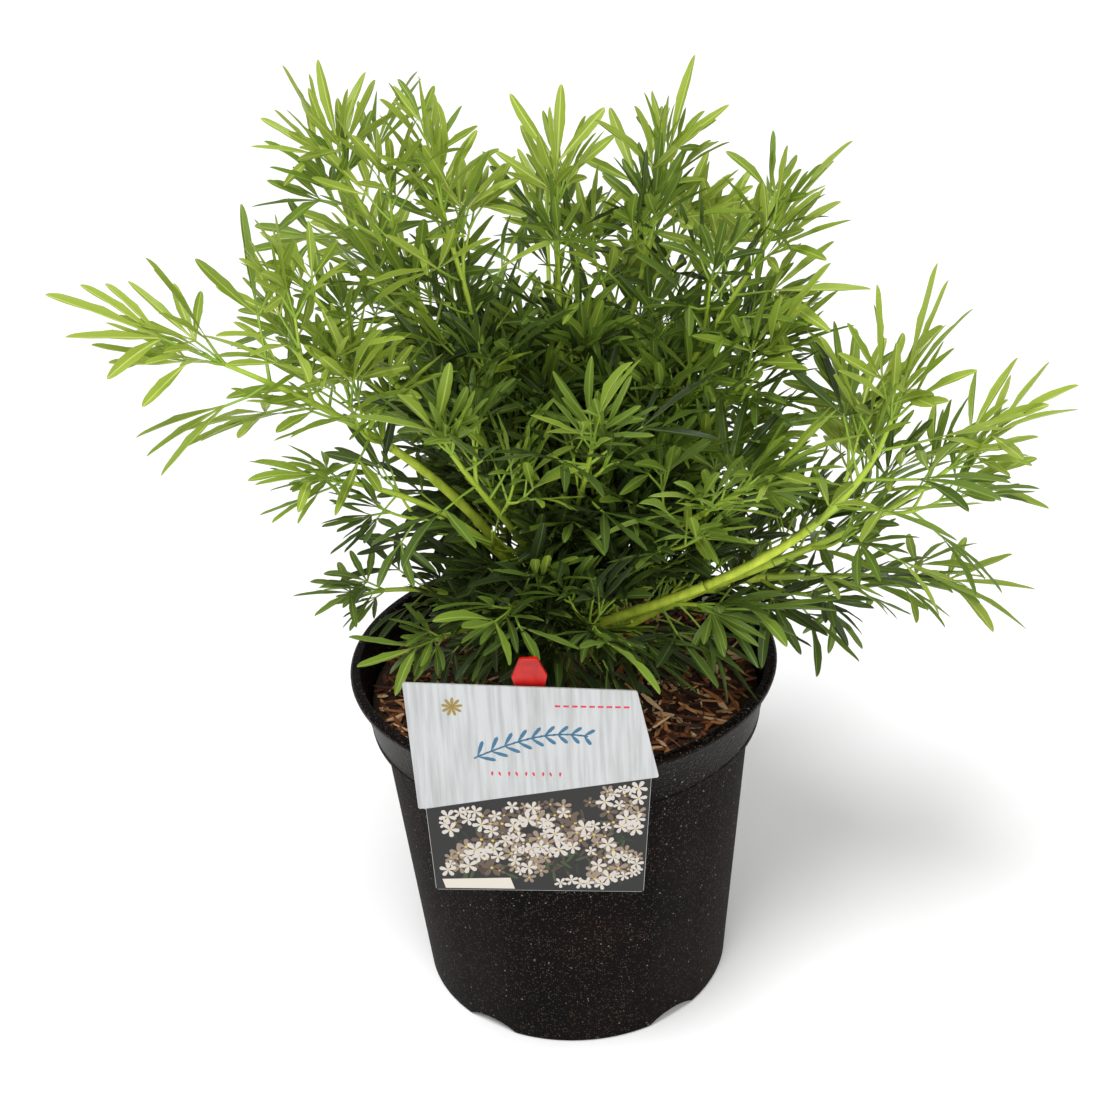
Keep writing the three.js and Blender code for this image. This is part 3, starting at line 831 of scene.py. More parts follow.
def printSprig(bm, z):
    # a plain sprig of narrow leaves on a bowed stem, a rosette, and two rows of short dashes
    for i in range(sprig["steps"] + 1):
        share = i / sprig["steps"]
        x = sprig["x"] + blend(-sprig["halfWidth"], sprig["halfWidth"], share)
        y = sprig["y"] + sprig["bow"] * math.sin(share * math.pi * 0.6)
        turn = math.radians(blend(*sprig["turn"], share))
        printBar(bm, "teal", x, y, z, turn, *sprig["stroke"])
        if i % 2 == 0:
            length = blend(*sprig["leafLength"], share)
            for side in (-1, 1):
                lean = turn + side * math.radians(sprig["leafLean"])
                printPetal(bm, "teal", 0.7, x, y, z, lean, sprig["leafWidth"], length)
    for i in range(sprig["marks"]):
        turn = math.tau * i / sprig["marks"]
        printPetal(bm, "ochre", 0.6, *sprig["rosette"], z, turn, *sprig["rosettePetal"])
        x, y = sprig["upperRow"]
        printBar(bm, "red", x + i * sprig["dashGap"], y, z, math.pi / 2, *sprig["upperDash"])
        x, y = sprig["lowerRow"]
        turn = math.radians(20 * (i % 2))
        printPetal(bm, "red", 0.5, x + i * sprig["dashGap"], y, z, turn, *sprig["lowerDash"])


def panelEdge(x):
    # how high the lower card shows, under the slanted panel
    return label["panelFoot"] + label["panelRise"] * (x + label["width"] / 2) / label["width"]


def printFlowers(bm, z):
    # blossom strewn over leaves on a dark ground, with a bare tab in the corner
    roll = dice(blossom["seed"])
    ink, edge = label["ink"], blossom["edge"]
    half = label["width"] / 2
    footLine = [(-half + edge, edge), (half - edge, edge)]
    leftTop = (-half + edge + slant(label["panelFoot"]), panelEdge(-half))
    printSheet(bm, "ground", [*footLine, (half - edge, panelEdge(half)), leftTop], z)
    printSheet(bm, "tab", blossom["tab"], z + ink * 4)
    within = blossom["leafMargin"]
    for i in range(blossom["leaves"]):
        x, y = blend(-half + within, half - within, roll()), blend(within, blossom["leafTop"], roll())
        tint = ("leafDark", "leafMid", "twigBrown")[int(roll() * 3)]
        printPetal(bm, tint, 0.4, x, y, z + ink * (1 + i / 60), roll() * math.tau, *blossom["leafSize"])
    placed = []
    tabRight, tabTop = blossom["tab"][1][0], blossom["tab"][2][1]
    for _ in range(blossom["tries"]):
        size = blend(*blossom["flowerSize"], roll())
        clear = size + blossom["margin"]
        x = blend(-half + clear, half - clear, roll())
        y = blend(clear, panelEdge(x) - clear, roll())
        overTab = x < tabRight + size and y < tabTop + size
        bare = noise.noise(Vector((x * 45, y * 70, 4))) > blossom["bareAbove"]
        crowded = any(math.hypot(x - a, y - b) < (size + s) * blossom["closeness"] for a, b, s in placed)
        if overTab or bare or crowded:
            continue
        placed.append((x, y, size))
        level = z + ink * (3 + len(placed) * 0.06)
        first = roll() * math.tau
        # the last ones lie on top and are palest
        depth = len(placed) / blossom["flowers"] + (roll() - 0.5) * 0.3
        tint = "petal"
        if depth < blossom["shadeShare"]:
            tint = "petalDeep" if depth < blossom["deepShare"] else "petalShade"
        wide = size * blossom["petalWidth"]
        for k in range(blossom["petals"]):
            turn = first + math.tau * k / blossom["petals"]
            printPetal(bm, tint, 0.8, x, y, level + ink * 0.01 * k, turn, wide, size)
        foot = y - size * blossom["heartDrop"]
        wide, tall = size * blossom["heartWidth"], size * blossom["heartLength"]
        printPetal(bm, "heart", 0, x, foot, level + ink * 0.05, 0, wide, tall, sides=6)
        if len(placed) == blossom["flowers"]:
            break


def makeLabel():
    backing, top = panelOutlines()
    bm = bmesh.new()
    addPlate(bm, backing, 0, label["backing"])
    addPlate(bm, top, label["backing"] + label["panelGap"], label["thickness"])
    corners = [e for e in bm.edges if abs(e.verts[0].co.z - e.verts[1].co.z) > 1e-5]
    bmesh.ops.bevel(
        bm, geom=corners, offset=label["corner"], affect="EDGES", segments=3, profile=0.5, material=-1
    )
    bmesh.ops.recalc_face_normals(bm, faces=bm.faces)
    bmesh.ops.transform(bm, matrix=labelPlace(), verts=bm.verts)
    finishPiece("label_card", meshFrom(bm, "label_card", smooth=False), [labelCard()], ["label"])
    bm = bmesh.new()
    printFlowers(bm, label["backing"] + label["ink"])
    printSprig(bm, label["thickness"] + label["ink"])
    bmesh.ops.transform(bm, matrix=labelPlace(), verts=bm.verts)
    inks = [plainTint(f"ink_{name}", tint, 0.4, 2500, 0.00002) for name, tint in inkTints.items()]
    finishPiece("label_print", meshFrom(bm, "label_print", smooth=False), inks)


limbs = []  # the peg and every limb as straight lengths with a radius, which leaves keep clear of
peg = {
    "footX": -0.014,
    "footY": -0.0713,
    "lean": 18.5,
    "length": 0.078,
    "footWidth": 0.005,
    "width": 0.012,
    "headWidth": 0.014,
    "headHeight": 0.016,
    "thickness": 0.0022,
    "edge": 0.0005,
    "rim": 0.0014,  # round both broad faces, which are sunk inside it
    "sink": 0.0005,
}


def makePeg():
    neck = peg["length"] - peg["headHeight"]
    shoulder = neck + peg["headHeight"] / 3
    half = [
        (peg["footWidth"] / 2, 0),
        (peg["width"] / 2, neck / 2),
        (peg["width"] / 2, neck),
        (peg["headWidth"] / 2, shoulder),
        (peg["headWidth"] / 4, peg["length"]),
    ]
    outline = [(-half[0][0], 0), *half, *[(-x, y) for x, y in half[:0:-1]]]
    bm = bmesh.new()
    addPlate(bm, outline, 0, peg["thickness"])
    bmesh.ops.recalc_face_normals(bm, faces=bm.faces)
    broad = [f for f in bm.faces if len(f.verts) == len(outline)]
    bmesh.ops.inset_region(bm, faces=broad, thickness=peg["rim"], depth=0)
    for side in (1, -1):
        sunk = {v for f in broad if f.normal.z * side > 0 for v in f.verts}
        bmesh.ops.translate(bm, verts=list(sunk), vec=(0, 0, -peg["sink"] * side))
    sharp = [e for e in bm.edges if len(e.link_faces) == 2 and e.calc_face_angle() > 0.6]
    bmesh.ops.bevel(bm, geom=sharp, offset=peg["edge"], affect="EDGES", segments=2, profile=0.5, material=-1)
    tilt = math.radians(90 + peg["lean"])
    forward = peg["thickness"] * math.sin(math.radians(peg["lean"]))
    foot = soilHeight(math.hypot(peg["footX"], peg["footY"])) + gap + forward
    place = Matrix.Translation((peg["footX"], peg["footY"], foot)) @ Matrix.Rotation(tilt, 4, "X")
    bmesh.ops.transform(bm, matrix=place, verts=bm.verts)
    finish = Finish("pegPlastic", "#b5120b", 0.32)
    finish.matte(0.3)
    cloud = finish.clouds(finish.pattern(), 160, (0.3, 0.7), "#a40f09", "#c8180e")
    finish.feed(cloud, "Colour", "Base Color")
    finish.uneven(finish.pattern(), 500, 0.0001)
    head = Vector((0, peg["length"], 0))
    head.rotate(Matrix.Rotation(tilt, 3, "X").to_quaternion())
    start = Vector((peg["footX"], peg["footY"], foot))
    limbs.append((start, start + head, peg["headWidth"] / 2))
    finishPiece("label_peg_stem", meshFrom(bm, "label_peg_stem"), [finish.material], ["label_peg"])


# Lines that limbs follow: points close together, with the share of the length that each stands at.
def lineThrough(points):
    steps = np.linalg.norm(np.diff(points, axis=0), axis=1)
    walked = np.concatenate(([0], np.cumsum(steps)))
    return {"points": points, "shares": walked / walked[-1], "length": walked[-1]}


def bezierLine(*controls, count=200):
    t = np.linspace(0, 1, count + 1)[:, None]
    order = len(controls) - 1
    terms = [
        math.comb(order, k) * (1 - t) ** (order - k) * t**k * np.array(c) for k, c in enumerate(controls)
    ]
    return lineThrough(sum(terms))


def pointAt(line, share):
    return Vector([np.interp(share, line["shares"], line["points"][:, k]) for k in range(3)])


def headingAt(line, share):
    step = 0.004
    low, high = max(0, share - step), min(1, share + step)
    return (pointAt(line, high) - pointAt(line, low)).normalized()


def stretchOf(line, start, end, count=24):
    return lineThrough(np.array([pointAt(line, blend(start, end, i / count)) for i in range(count + 1)]))


trunk = {
    "height": 0.068,
    "flareRadius": 0.012,
    "footRadius": 0.008,
    "tipRadius": 0.005,
    "flareShare": 0.14,
    "leanX": 0.003,
    "leanY": 0.002,
    "firstBough": 0.16,
    "lastBough": 0.94,
    "sides": 28,
    "rings": 70,
    "fissure": 0.1,  # depths of the bark's relief, as shares of the radius
    "knot": 0.05,
    "root": 0.12,
    "roots": 5,
    "rootShare": 0.16,
    "age": 0.12,  # of its top, where 0 is the oldest bark
}
trunkFoot = soil["top"] + gap
trunkLine = bezierLine(
    (0, 0, trunkFoot),
    (0, 0, trunkFoot + trunk["height"] / 2),
    (trunk["leanX"], trunk["leanY"], trunkFoot + trunk["height"]),
)

# Each shoot by the end of its stem, as in the frame: bearing and reach from the trunk, rise above the soil.
# It leaves the trunk at its own bearing unless leave gives another. climb and finish are its slopes at both
# ends, and bare is the share that is a bough without a mass. part is the side of the crown whose piece it
# joins. inner counts the places on its bough that bear twigs too: a bough with none stays in sight. open
# spreads its nodes, size is that of its leaves, lift how far its twigs bend up, and crest the length of a
# twig that goes straight on from its tip.
shoots = {
    "left_arm": dict(
        part="left", bearing=201, leave=194, reach=0.132, rise=0.18, climb=66, finish=34, bare=0.58,
        twig=0.034, lift=0.9, open=1.1, inner=0,
    ),
    "left_low": dict(
        part="left", bearing=212, leave=224, reach=0.098, rise=0.13, climb=64, finish=26, bare=0.4,
        size=0.88, open=1.7, inner=1,
    ),
    "left_rim": dict(
        part="left", bearing=190, reach=0.076, rise=0.058, climb=62, finish=4, bare=0.32,
        twig=0.012, size=0.74, open=1.6, inner=1,
    ),
    "left_high": dict(
        part="left", bearing=191, reach=0.092, rise=0.194, climb=74, finish=58, bare=0.38,
        size=0.85, open=1.3, inner=2,
    ),
    "top_left": dict(
        part="top", bearing=166, reach=0.08, rise=0.232, climb=80, finish=66, bare=0.38, twig=0.027, open=0.7
    ),
    "top_middle": dict(
        part="top", bearing=182, leave=206, reach=0.038, rise=0.22, climb=82, finish=80, bare=0.36,
        twig=0.027, open=0.8, crest=0.029,
    ),
    "top_leader": dict(part="top", bearing=60, reach=0.014, rise=0.216, climb=86, finish=84, bare=0.34),
    "top_right": dict(
        part="top", bearing=16, leave=32, reach=0.05, rise=0.216, climb=78, finish=76, bare=0.36,
        twig=0.027, open=0.7, crest=0.014,
    ),
    "right_shoulder": dict(
        part="right", bearing=344, leave=350, reach=0.082, rise=0.152, climb=68, finish=56, bare=0.32, inner=4
    ),
    "right_high": dict(
        part="right", bearing=0, leave=354, reach=0.084, rise=0.19, climb=70, finish=58, bare=0.38,
        twig=0.033, open=0.6, crest=0.021,
    ),
    "right_arm": dict(
        part="right", bearing=340, leave=306, reach=0.141, rise=0.142, climb=34, finish=76, bare=0.68,
        twig=0.026, inner=0,
    ),
    "right_far": dict(
        part="right", bearing=351, leave=338, reach=0.164, rise=0.108, climb=46, finish=44, bare=0.54,
        size=1.2, inner=0,
    ),
    "right_low": dict(
        part="right", bearing=2, leave=10, reach=0.146, rise=0.04, climb=42, finish=-8, bare=0.62,
        size=1.15, open=1, inner=4,
    ),
    "right_front": dict(
        part="right", bearing=322, leave=332, reach=0.092, rise=0.118, climb=64, finish=40, bare=0.3
    ),
    "front_high": dict(part="front", bearing=285, reach=0.058, rise=0.14, climb=70, finish=58, bare=0.28),
    "front_left": dict(
        part="front", bearing=236, leave=242, reach=0.07, rise=0.142, climb=68, finish=56, bare=0.28
    ),
    "front_low": dict(
        part="front", bearing=250, leave=248, reach=0.058, rise=0.07, climb=62, finish=14, bare=0.22, inner=5
    ),
    "front_right_low": dict(
        part="front", bearing=282, leave=268, reach=0.062, rise=0.062, climb=56, finish=14, bare=0.22, inner=5
    ),
    "left_skirt": dict(
        part="front", bearing=222, reach=0.066, rise=0.052, climb=58, finish=6, bare=0.24,
        twig=0.013, size=0.8, open=0.9, inner=2,
    ),
    "right_skirt": dict(
        part="front", bearing=330, leave=323, reach=0.066, rise=0.054, climb=56, finish=8, bare=0.24
    ),
}
backShoots = {
    "count": 5,
    "firstBearing": 34,
    "lastBearing": 142,
    "high": dict(part="back", reach=0.084, rise=0.174, climb=68, finish=58, bare=0.34, open=1.4, inner=5),
    "low": dict(part="back", reach=0.11, rise=0.102, climb=58, finish=26, bare=0.34, inner=5),
}
bough = {
    "footRadius": 0.0015,
    "endRadius": 0.0017,
    "swell": 0.0045,
    "pull": 0.38,  # how far both ends hold their slope, as a share of the way between them
    "splitShare": 0.6,
    "sides": 14,
    "ringSpacing": 0.0016,
    "nodeSpacing": 0.014,
    "nodeWidth": 0.0011,
    "node": 0.08,  # depths of the bark's relief, as shares of the radius
    "scar": 0.16,
    "grain": 0.05,
    "footAge": 0.1,
    "ageReach": 0.16,  # how far along it the bark is all young
    "turnAges": (0.08, 0.24),  # where bark turns from brown to green
    "hiddenFoot": 14,  # of the 41 points on a bough in sight, those that leaves may hide
    "sightWidth": 0.006,  # the strip before a bough in sight that leaves keep out of
}
stemGrowth = {
    "firstSeed": 15,
    "twigLength": 0.02,  # where the shoot doesn't say
    "tipRadius": 0.0009,
    "spacing": (0.0068, 0.0172),  # between nodes, of a closed and of an open shoot
    "openReach": 0.24,  # how far from the foot an open shoot ends
    "sideWeight": 1.15,  # of reach against rise in that
    "nodeSwell": 1.14,
    "youngShare": 0.4,  # length of the twigs next to the tip
    "youngReach": 0.07,  # how far below the tip they have their full length
    "twigLean": 42,
    "twigStretch": (0.85, 1.5),
    "overlap": 0.012,  # how far sprays reach among their neighbours
    "twigRadius": 0.00095,
    "twigTipRadius": 0.0005,
    "twigSwell": 1.3,
    "twigRise": 0.35,  # how far a twig bends towards the light, where the shoot doesn't say
    "twigNode": 0.012,
    "twigChance": (1, 0.66),  # at each node, of a closed and of an open shoot
    "forkChance": 0.3,
    "forkShare": 0.6,
    "finerRadius": 0.8,
    "innerCount": 3,  # where the shoot doesn't say
    "innerStart": 0.97,  # the first such place, as a share of the bough
    "innerStep": 0.16,  # from there down to the next
    "innerLean": 1.2,  # against that of other twigs
    "innerStretch": (1, 1.7),
}
leaf = {
    "petiole": 0.0155,
    "petioleStretch": (0.75, 1.25),
    "petioleRadius": 0.00052,
    "petioleBow": 0.0016,
    "petioleTip": 0.0012,  # how far the stalk runs on under the fingers
    "length": 0.0288,
    "width": 0.0039,
    "lengthStretch": (0.88, 1.1),
    "widthStretch": (0.85, 1.15),
    "threes": 0.62,  # share of leaves with three fingers, not five
    "threesFan": 1.15,
    "fan": (24, 42),
    "shorten": 0.09,
    "size": 0.97,
    "sizeSpread": 0.34,
    "armSize": 0.42,  # how much larger the leaves of the farthest shoots are
    "armReach": 0.165,
    "leadSize": 1.15,  # of the leaf that ends a shoot; the next are of those on stems, on twigs and in tufts
    "stemSize": 1.1,
    "twigSize": 0.92,
    "tuftSize": 0.85,
    "besideSize": 0.95,  # of those round the middle of a tuft
    "margin": 0.001,  # that tips keep from the box and the pot
    "lean": 54,
    "endLean": 24,
    "endStretch": (0.8, 1.5),
    "tilt": 70,
    "sway": 0.14,  # of a finger to the side
    "lift": 0.3,  # of a finger up or down
    "tries": 4,
    "tryTurn": 43,
    "tryShrink": 0.06,
    "stations": 11,
    "widest": 0.56,
    "foot": 0.17,
    "ribShare": 0.085,
    "ribHeight": 0.004,
    "fold": 0.08,
    "tooth": 0.09,
    "wave": 0.012,
    "waves": 14,
    "tipCrowding": 1.7,  # how much closer together the stations are at the round tip
    "bends": ((0.04, 0, 0.06), (0.12, 0.3, -0.08), (0.2, -0.25, 0.1), (-0.07, 0.15, 0.02)),
}
# Painted light and shade on the leaves: how each leaf's tint is set, darker towards the crown's low middle as
# if shaded, brighter outwards as if lit, and spread at random between sprays and fingers.
shade = {
    "middle": 0.185,  # height of the crown's middle, where leaves are painted darkest, as in shade
    "reach": 0.215,  # from there to where leaves are painted brightest, as if lit
    "start": -0.2,
    "sprays": 0.75,  # how far sprays differ
    "fingers": 0.3,  # how far the fingers of a spray differ
    "least": 0.36,
    "tuft": 0.05,  # how much brighter the leaves at a tip are
    "tip": 0.06,
    "opposite": 0.05,  # how much darker the leaf across the stem from a twig is
}
keepOff = 0.001
# six steps of one leaf green, and of its paler midrib, from painted shade to painted light
leafTints = ["#2d3b1c", "#425620", "#5a7227", "#6b852b", "#7d942f", "#91a738"]
ribTints = ["#566535", "#6f833e", "#869c48", "#98ad4d", "#abbd56", "#c0cd6c"]


def outward(bearing):
    angle = math.radians(bearing)
    return Vector((math.cos(angle), math.sin(angle), 0))


def slope(bearing, rise):
    angle = math.radians(rise)
    return outward(bearing) * math.cos(angle) + up * math.sin(angle)


def trunkRadius(share):
    flare = max(0, 1 - share / trunk["flareShare"])
    plain = blend(trunk["footRadius"], trunk["tipRadius"], share)
    return plain + (trunk["flareRadius"] - trunk["footRadius"]) * flare**2


def shootLine(shoot):
    # from the trunk to the tip of the stem; the leader carries on where the trunk ends
    tip = outward(shoot["bearing"]) * shoot["reach"] + up * (soil["top"] + shoot["rise"])
    if shoot["leader"]:
        heading = headingAt(trunkLine, 1)
        foot = pointAt(trunkLine, 1) + heading * seam
    else:
        heading = slope(shoot["leave"], shoot["climb"])
        clear = trunkRadius(shoot["start"]) + boughGap + shoot["girth"] * heading.z
        foot = pointAt(trunkLine, shoot["start"]) + outward(shoot["leave"]) * clear
    pull = (tip - foot).length * bough["pull"]
    return bezierLine(foot, foot + heading * pull, tip - slope(shoot["bearing"], shoot["finish"]) * pull, tip)


def planShoots():
    count = backShoots["count"]
    for i in range(count):
        kind = "high" if i % 2 == 0 else "low"
        bearing = blend(backShoots["firstBearing"], backShoots["lastBearing"], i / (count - 1))
        shoots[f"back_{kind}_{i // 2 + 1}"] = dict(backShoots[kind], bearing=bearing)
    ranked = sorted(shoots.values(), key=lambda shoot: shoot["rise"] / shoot["reach"])
    for rank, shoot in enumerate(ranked):
        shoot["start"] = blend(trunk["firstBough"], trunk["lastBough"], rank / (len(ranked) - 1))
        shoot["leader"] = shoot is ranked[-1]
    for index, (name, shoot) in enumerate(shoots.items()):
        shoot["name"], shoot["index"] = name, index
        far = math.hypot(shoot["reach"] * stemGrowth["sideWeight"], shoot["rise"]) / stemGrowth["openReach"]
        shoot.setdefault("leave", shoot["bearing"])
        shoot.setdefault("twig", stemGrowth["twigLength"])
        shoot.setdefault("size", 1 + leaf["armSize"] * (shoot["reach"] / leaf["armReach"]) ** 2)
        shoot.setdefault("lift", stemGrowth["twigRise"])
        shoot.setdefault("inner", stemGrowth["innerCount"])
        shoot.setdefault("open", far**2)
        shoot["girth"] = bough["footRadius"] + bough["swell"] * math.hypot(shoot["reach"], shoot["rise"])
        shoot["line"] = shootLine(shoot)


planShoots()


def framesAlong(line, count):
    # a pair of directions across the line at each ring, carried along it without twisting
    rings = []
    side = None
    for i in range(count + 1):
        heading = headingAt(line, i / count)
        if side is None:
            side = heading.orthogonal()
        side = (side - heading * side.dot(heading)).normalized()
        rings.append((pointAt(line, i / count), side.copy(), heading.cross(side)))
    return rings


def addLimb(bm, line, radiusAt, sides, rings, reliefAt, ageAt, layer):
    # a cylinder cut into rings, which are set along the line and shaped by the bark's relief
    made = bmesh.ops.create_cone(bm, cap_ends=True, segments=sides, radius1=1, radius2=1, depth=1)["verts"]
    for v in made:
        v[layer] = -1
    upright = {e for v in made for e in v.link_edges if abs(e.verts[0].co.z - e.verts[1].co.z) > 0.5}
    bmesh.ops.subdivide_edges(bm, edges=list(upright), cuts=rings - 1)
    verts = [v for v in bm.verts if v[layer] < -0.5]
    places = framesAlong(line, rings)
    for v in verts:
        share = v.co.z + 0.5
        angle = math.atan2(v.co.y, v.co.x)
        centre, side, other = places[round(share * rings)]
        radius = radiusAt(share) * reliefAt(share * line["length"], angle, share)
        v[layer] = ageAt(share)
        v.co = centre + (side * math.cos(angle) + other * math.sin(angle)) * radius


def trunkAge(share):
    return share * trunk["age"]


def trunkRelief(along, angle, share):
    # long fissures, a few knots, and ridges where the roots begin
    place = Vector((math.cos(angle) * 2.2, math.sin(angle) * 2.2, along * 90))
    fissure = noise.fractal(place, 0.8, 2.1, 4) * trunk["fissure"]
    ridge = math.cos(angle * trunk["roots"] + 0.7) * trunk["root"] * max(0, 1 - share / trunk["rootShare"])
    knot = noise.noise(Vector((angle, along * 160, 7))) * trunk["knot"]
    return 1 + fissure + ridge + knot


def boughRelief(seed):
    def at(along, angle, share):
        # a ring and a pair of leaf scars at each node, turned a quarter from one node to the next
        number = round(along / bough["nodeSpacing"])
        offset = along - number * bough["nodeSpacing"]
        ring = math.exp(-((offset / bough["nodeWidth"]) ** 2))
        scar = max(0, math.cos((angle - number * math.pi / 2) * 2)) ** 4
        place = Vector((math.cos(angle) * 1.6, math.sin(angle) * 1.6, along * 130 + seed))
        return 1 + ring * (bough["node"] + bough["scar"] * scar) + noise.noise(place) * bough["grain"]

    return at


def barkMaterial():
    # grey-brown and ridged at the foot, turning to smooth yellow-green with the limb's age
    finish = Finish("bark", "#6f6a3a", 0.7)
    age = finish.nodes.new("ShaderNodeAttribute")
    age.attribute_name = "age"
    place = finish.pattern((1, 1, 0.35))
    old = finish.clouds(place, 420, (0.35, 0.65), "#4a3d26", "#8a7d52")
    young = finish.clouds(place, 260, (0.3, 0.7), "#a0b930", "#d3e250")
    brown, green = bough["turnAges"]
    share = finish.add("ShaderNodeMapRange", **{"From Min": brown, "From Max": green})
    paint = newPaint(finish.tree)
    wire(
        finish.tree,
        (age, "Fac", share, "Value"),
        (share, "Result", paint, "Factor"),
        (old, "Colour", paint, "A"),
        (young, "Colour", paint, "B"),
    )
    finish.feed(paint, "Result", "Base Color")
    finish.shine(share, "Result", 0.85, 0.5)
    finish.matte(0.3)
    finish.uneven(place, 1100, 0.0003)
    return finish.material


def rememberLimb(line, radiusAt, count):
    for i in range(count):
        limbs.append((pointAt(line, i / count), pointAt(line, (i + 1) / count), radiusAt(i / count)))


shownLines = []  # points on the boughs in sight


def hidesBough(points):
    # whether any of the points stands right before one of them, as seen from above the label
    front = np.array(slope(270, 30))
    spots = np.array(points)
    for line in shownLines:
        apart = spots[:, None] - line[None]
        ahead = apart @ front
        aside = np.linalg.norm(apart - ahead[..., None] * front, axis=2)
        if ((ahead > 0) & (aside < bough["sightWidth"])).any():
            return True
    return False


def makeLimbs():
    bark = barkMaterial()
    bm = bmesh.new()
    layer = bm.verts.layers.float.new("age")
    addLimb(bm, trunkLine, trunkRadius, trunk["sides"], trunk["rings"], trunkRelief, trunkAge, layer)
    rememberLimb(trunkLine, trunkRadius, 8)
    finishPiece("trunk_bark", meshFrom(bm, "trunk_bark"), [bark], ["trunk"])
    bm = bmesh.new()
    layer = bm.verts.layers.float.new("age")
    replaced = []
    for shoot in shoots.values():
        split = shoot["name"] == "right_arm"  # bends round a wide gap, so its bough is two limbs
        cuts = [0, shoot["bare"] * bough["splitShare"], shoot["bare"]] if split else [0, shoot["bare"]]
        for i in range(1, len(cuts)):
            start = cuts[i - 1] + (seam / shoot["line"]["length"] if i > 1 else 0)
            line = stretchOf(shoot["line"], start, cuts[i], 40)

            def radiusAt(share, shoot=shoot, start=start, end=cuts[i]):
                return blend(shoot["girth"], bough["endRadius"], blend(start, end, share) / shoot["bare"])

            def ageAt(share, shoot=shoot, start=start, end=cuts[i]):
                walked = blend(start, end, share) * shoot["line"]["length"]
                return bough["footAge"] + walked / bough["ageReach"]

            if shoot["inner"] == 0:
                first = bough["hiddenFoot"] if i == 1 else 0
                shownLines.append(line["points"][first::4])
            rings = max(12, round(line["length"] / bough["ringSpacing"]))
            reliefAt = boughRelief(shoot["index"] * 3.1)
            addLimb(bm, line, radiusAt, bough["sides"], rings, reliefAt, ageAt, layer)
            rememberLimb(line, radiusAt, 5)
            replaced.append(f"bough_{shoot['name']}" + (f"_{i}" if split else ""))
    finishPiece("boughs_bark", meshFrom(bm, "boughs_bark"), [bark], replaced)


# Points that stand for a mass: a place nearer to them than to another mass's is in its own space.
def spacePoints(shoot):
    marks = [pointAt(shoot["line"], blend(shoot["bare"], 1, t)) for t in (0, 0.25, 0.5, 0.75, 1)]
    marks.append(marks[4] + headingAt(shoot["line"], 1) * shoot["twig"])
    return marks


spaces = np.array([spacePoints(shoot) for shoot in shoots.values()])


def inSpace(shoot, points, margin):
    apart = np.linalg.norm(spaces[None] - np.array(points)[:, None, None], axis=3).min(axis=2)
    own = apart[:, shoot["index"]].copy()
    apart[:, shoot["index"]] = np.inf
    return bool((apart.min(axis=1) > own + margin).all())


def clearOfPot(point, margin):
    radial = math.hypot(point.x, point.y)
    if point.z < soil["top"] + keepOff + margin and radial < pot["rimRadius"]:
        return False
    nearWall = pot["baseRadius"] + keepOff < radial < pot["rimRadius"] + keepOff + margin
    if point.z < pot["height"] + keepOff + margin and nearWall:
        return False
    nearLabel = -point.y > pot["shoulderRadius"] and abs(point.x - label["footX"]) < label["width"] * 0.65
    return not (nearLabel and point.z < label["footZ"] + label["height"] + margin)


def clearOfLimbs(points, half):
    spots = np.array(points)[:, None]
    along = limbEnds - limbStarts
    share = ((spots - limbStarts) * along).sum(2) / (along**2).sum(1)
    nearest = limbStarts + along * np.clip(share, 0, 1)[..., None]
    return bool((np.linalg.norm(spots - nearest, axis=2) > limbRadii + half + gap).all())


def inBox(points):
    return all(low < c < high for p in points for low, c, high in zip(cadBox[0], p, cadBox[1]))


def fits(shoot, points, half):
    near = inBox(points) and all(clearOfPot(p, half) for p in points)
    return near and inSpace(shoot, points, -stemGrowth["overlap"]) and clearOfLimbs(points, half)


# A heading that leans away from the one given, turned round it.
def leanFrom(heading, lean, turn):
    level = Vector((1, 0, 0)) if abs(heading.z) > 0.95 else up
    side = heading.cross(level).normalized()
    side.rotate(Quaternion(heading, math.radians(turn)))
    away = heading.copy()
    away.rotate(Quaternion(side, math.radians(lean)))
    return away.normalized()


class Sprays:
    # what one side of the crown has grown so far
    def __init__(self):
        self.stems = []
        self.petioles = []
        self.fingers = [[] for _ in range(4)]
        self.tints = [[] for _ in range(4)]


def paintedShadeTint(point, spray):
    # painted light and shade: a spray is painted brighter the farther it stands from the crown's low middle,
    # as if lit, and darker near that middle, as if shaded
    out = (point - Vector((0, 0, shade["middle"]))).length / shade["reach"]
    return max(out + shade["start"] + (spray - 0.5) * shade["sprays"], out * shade["least"])


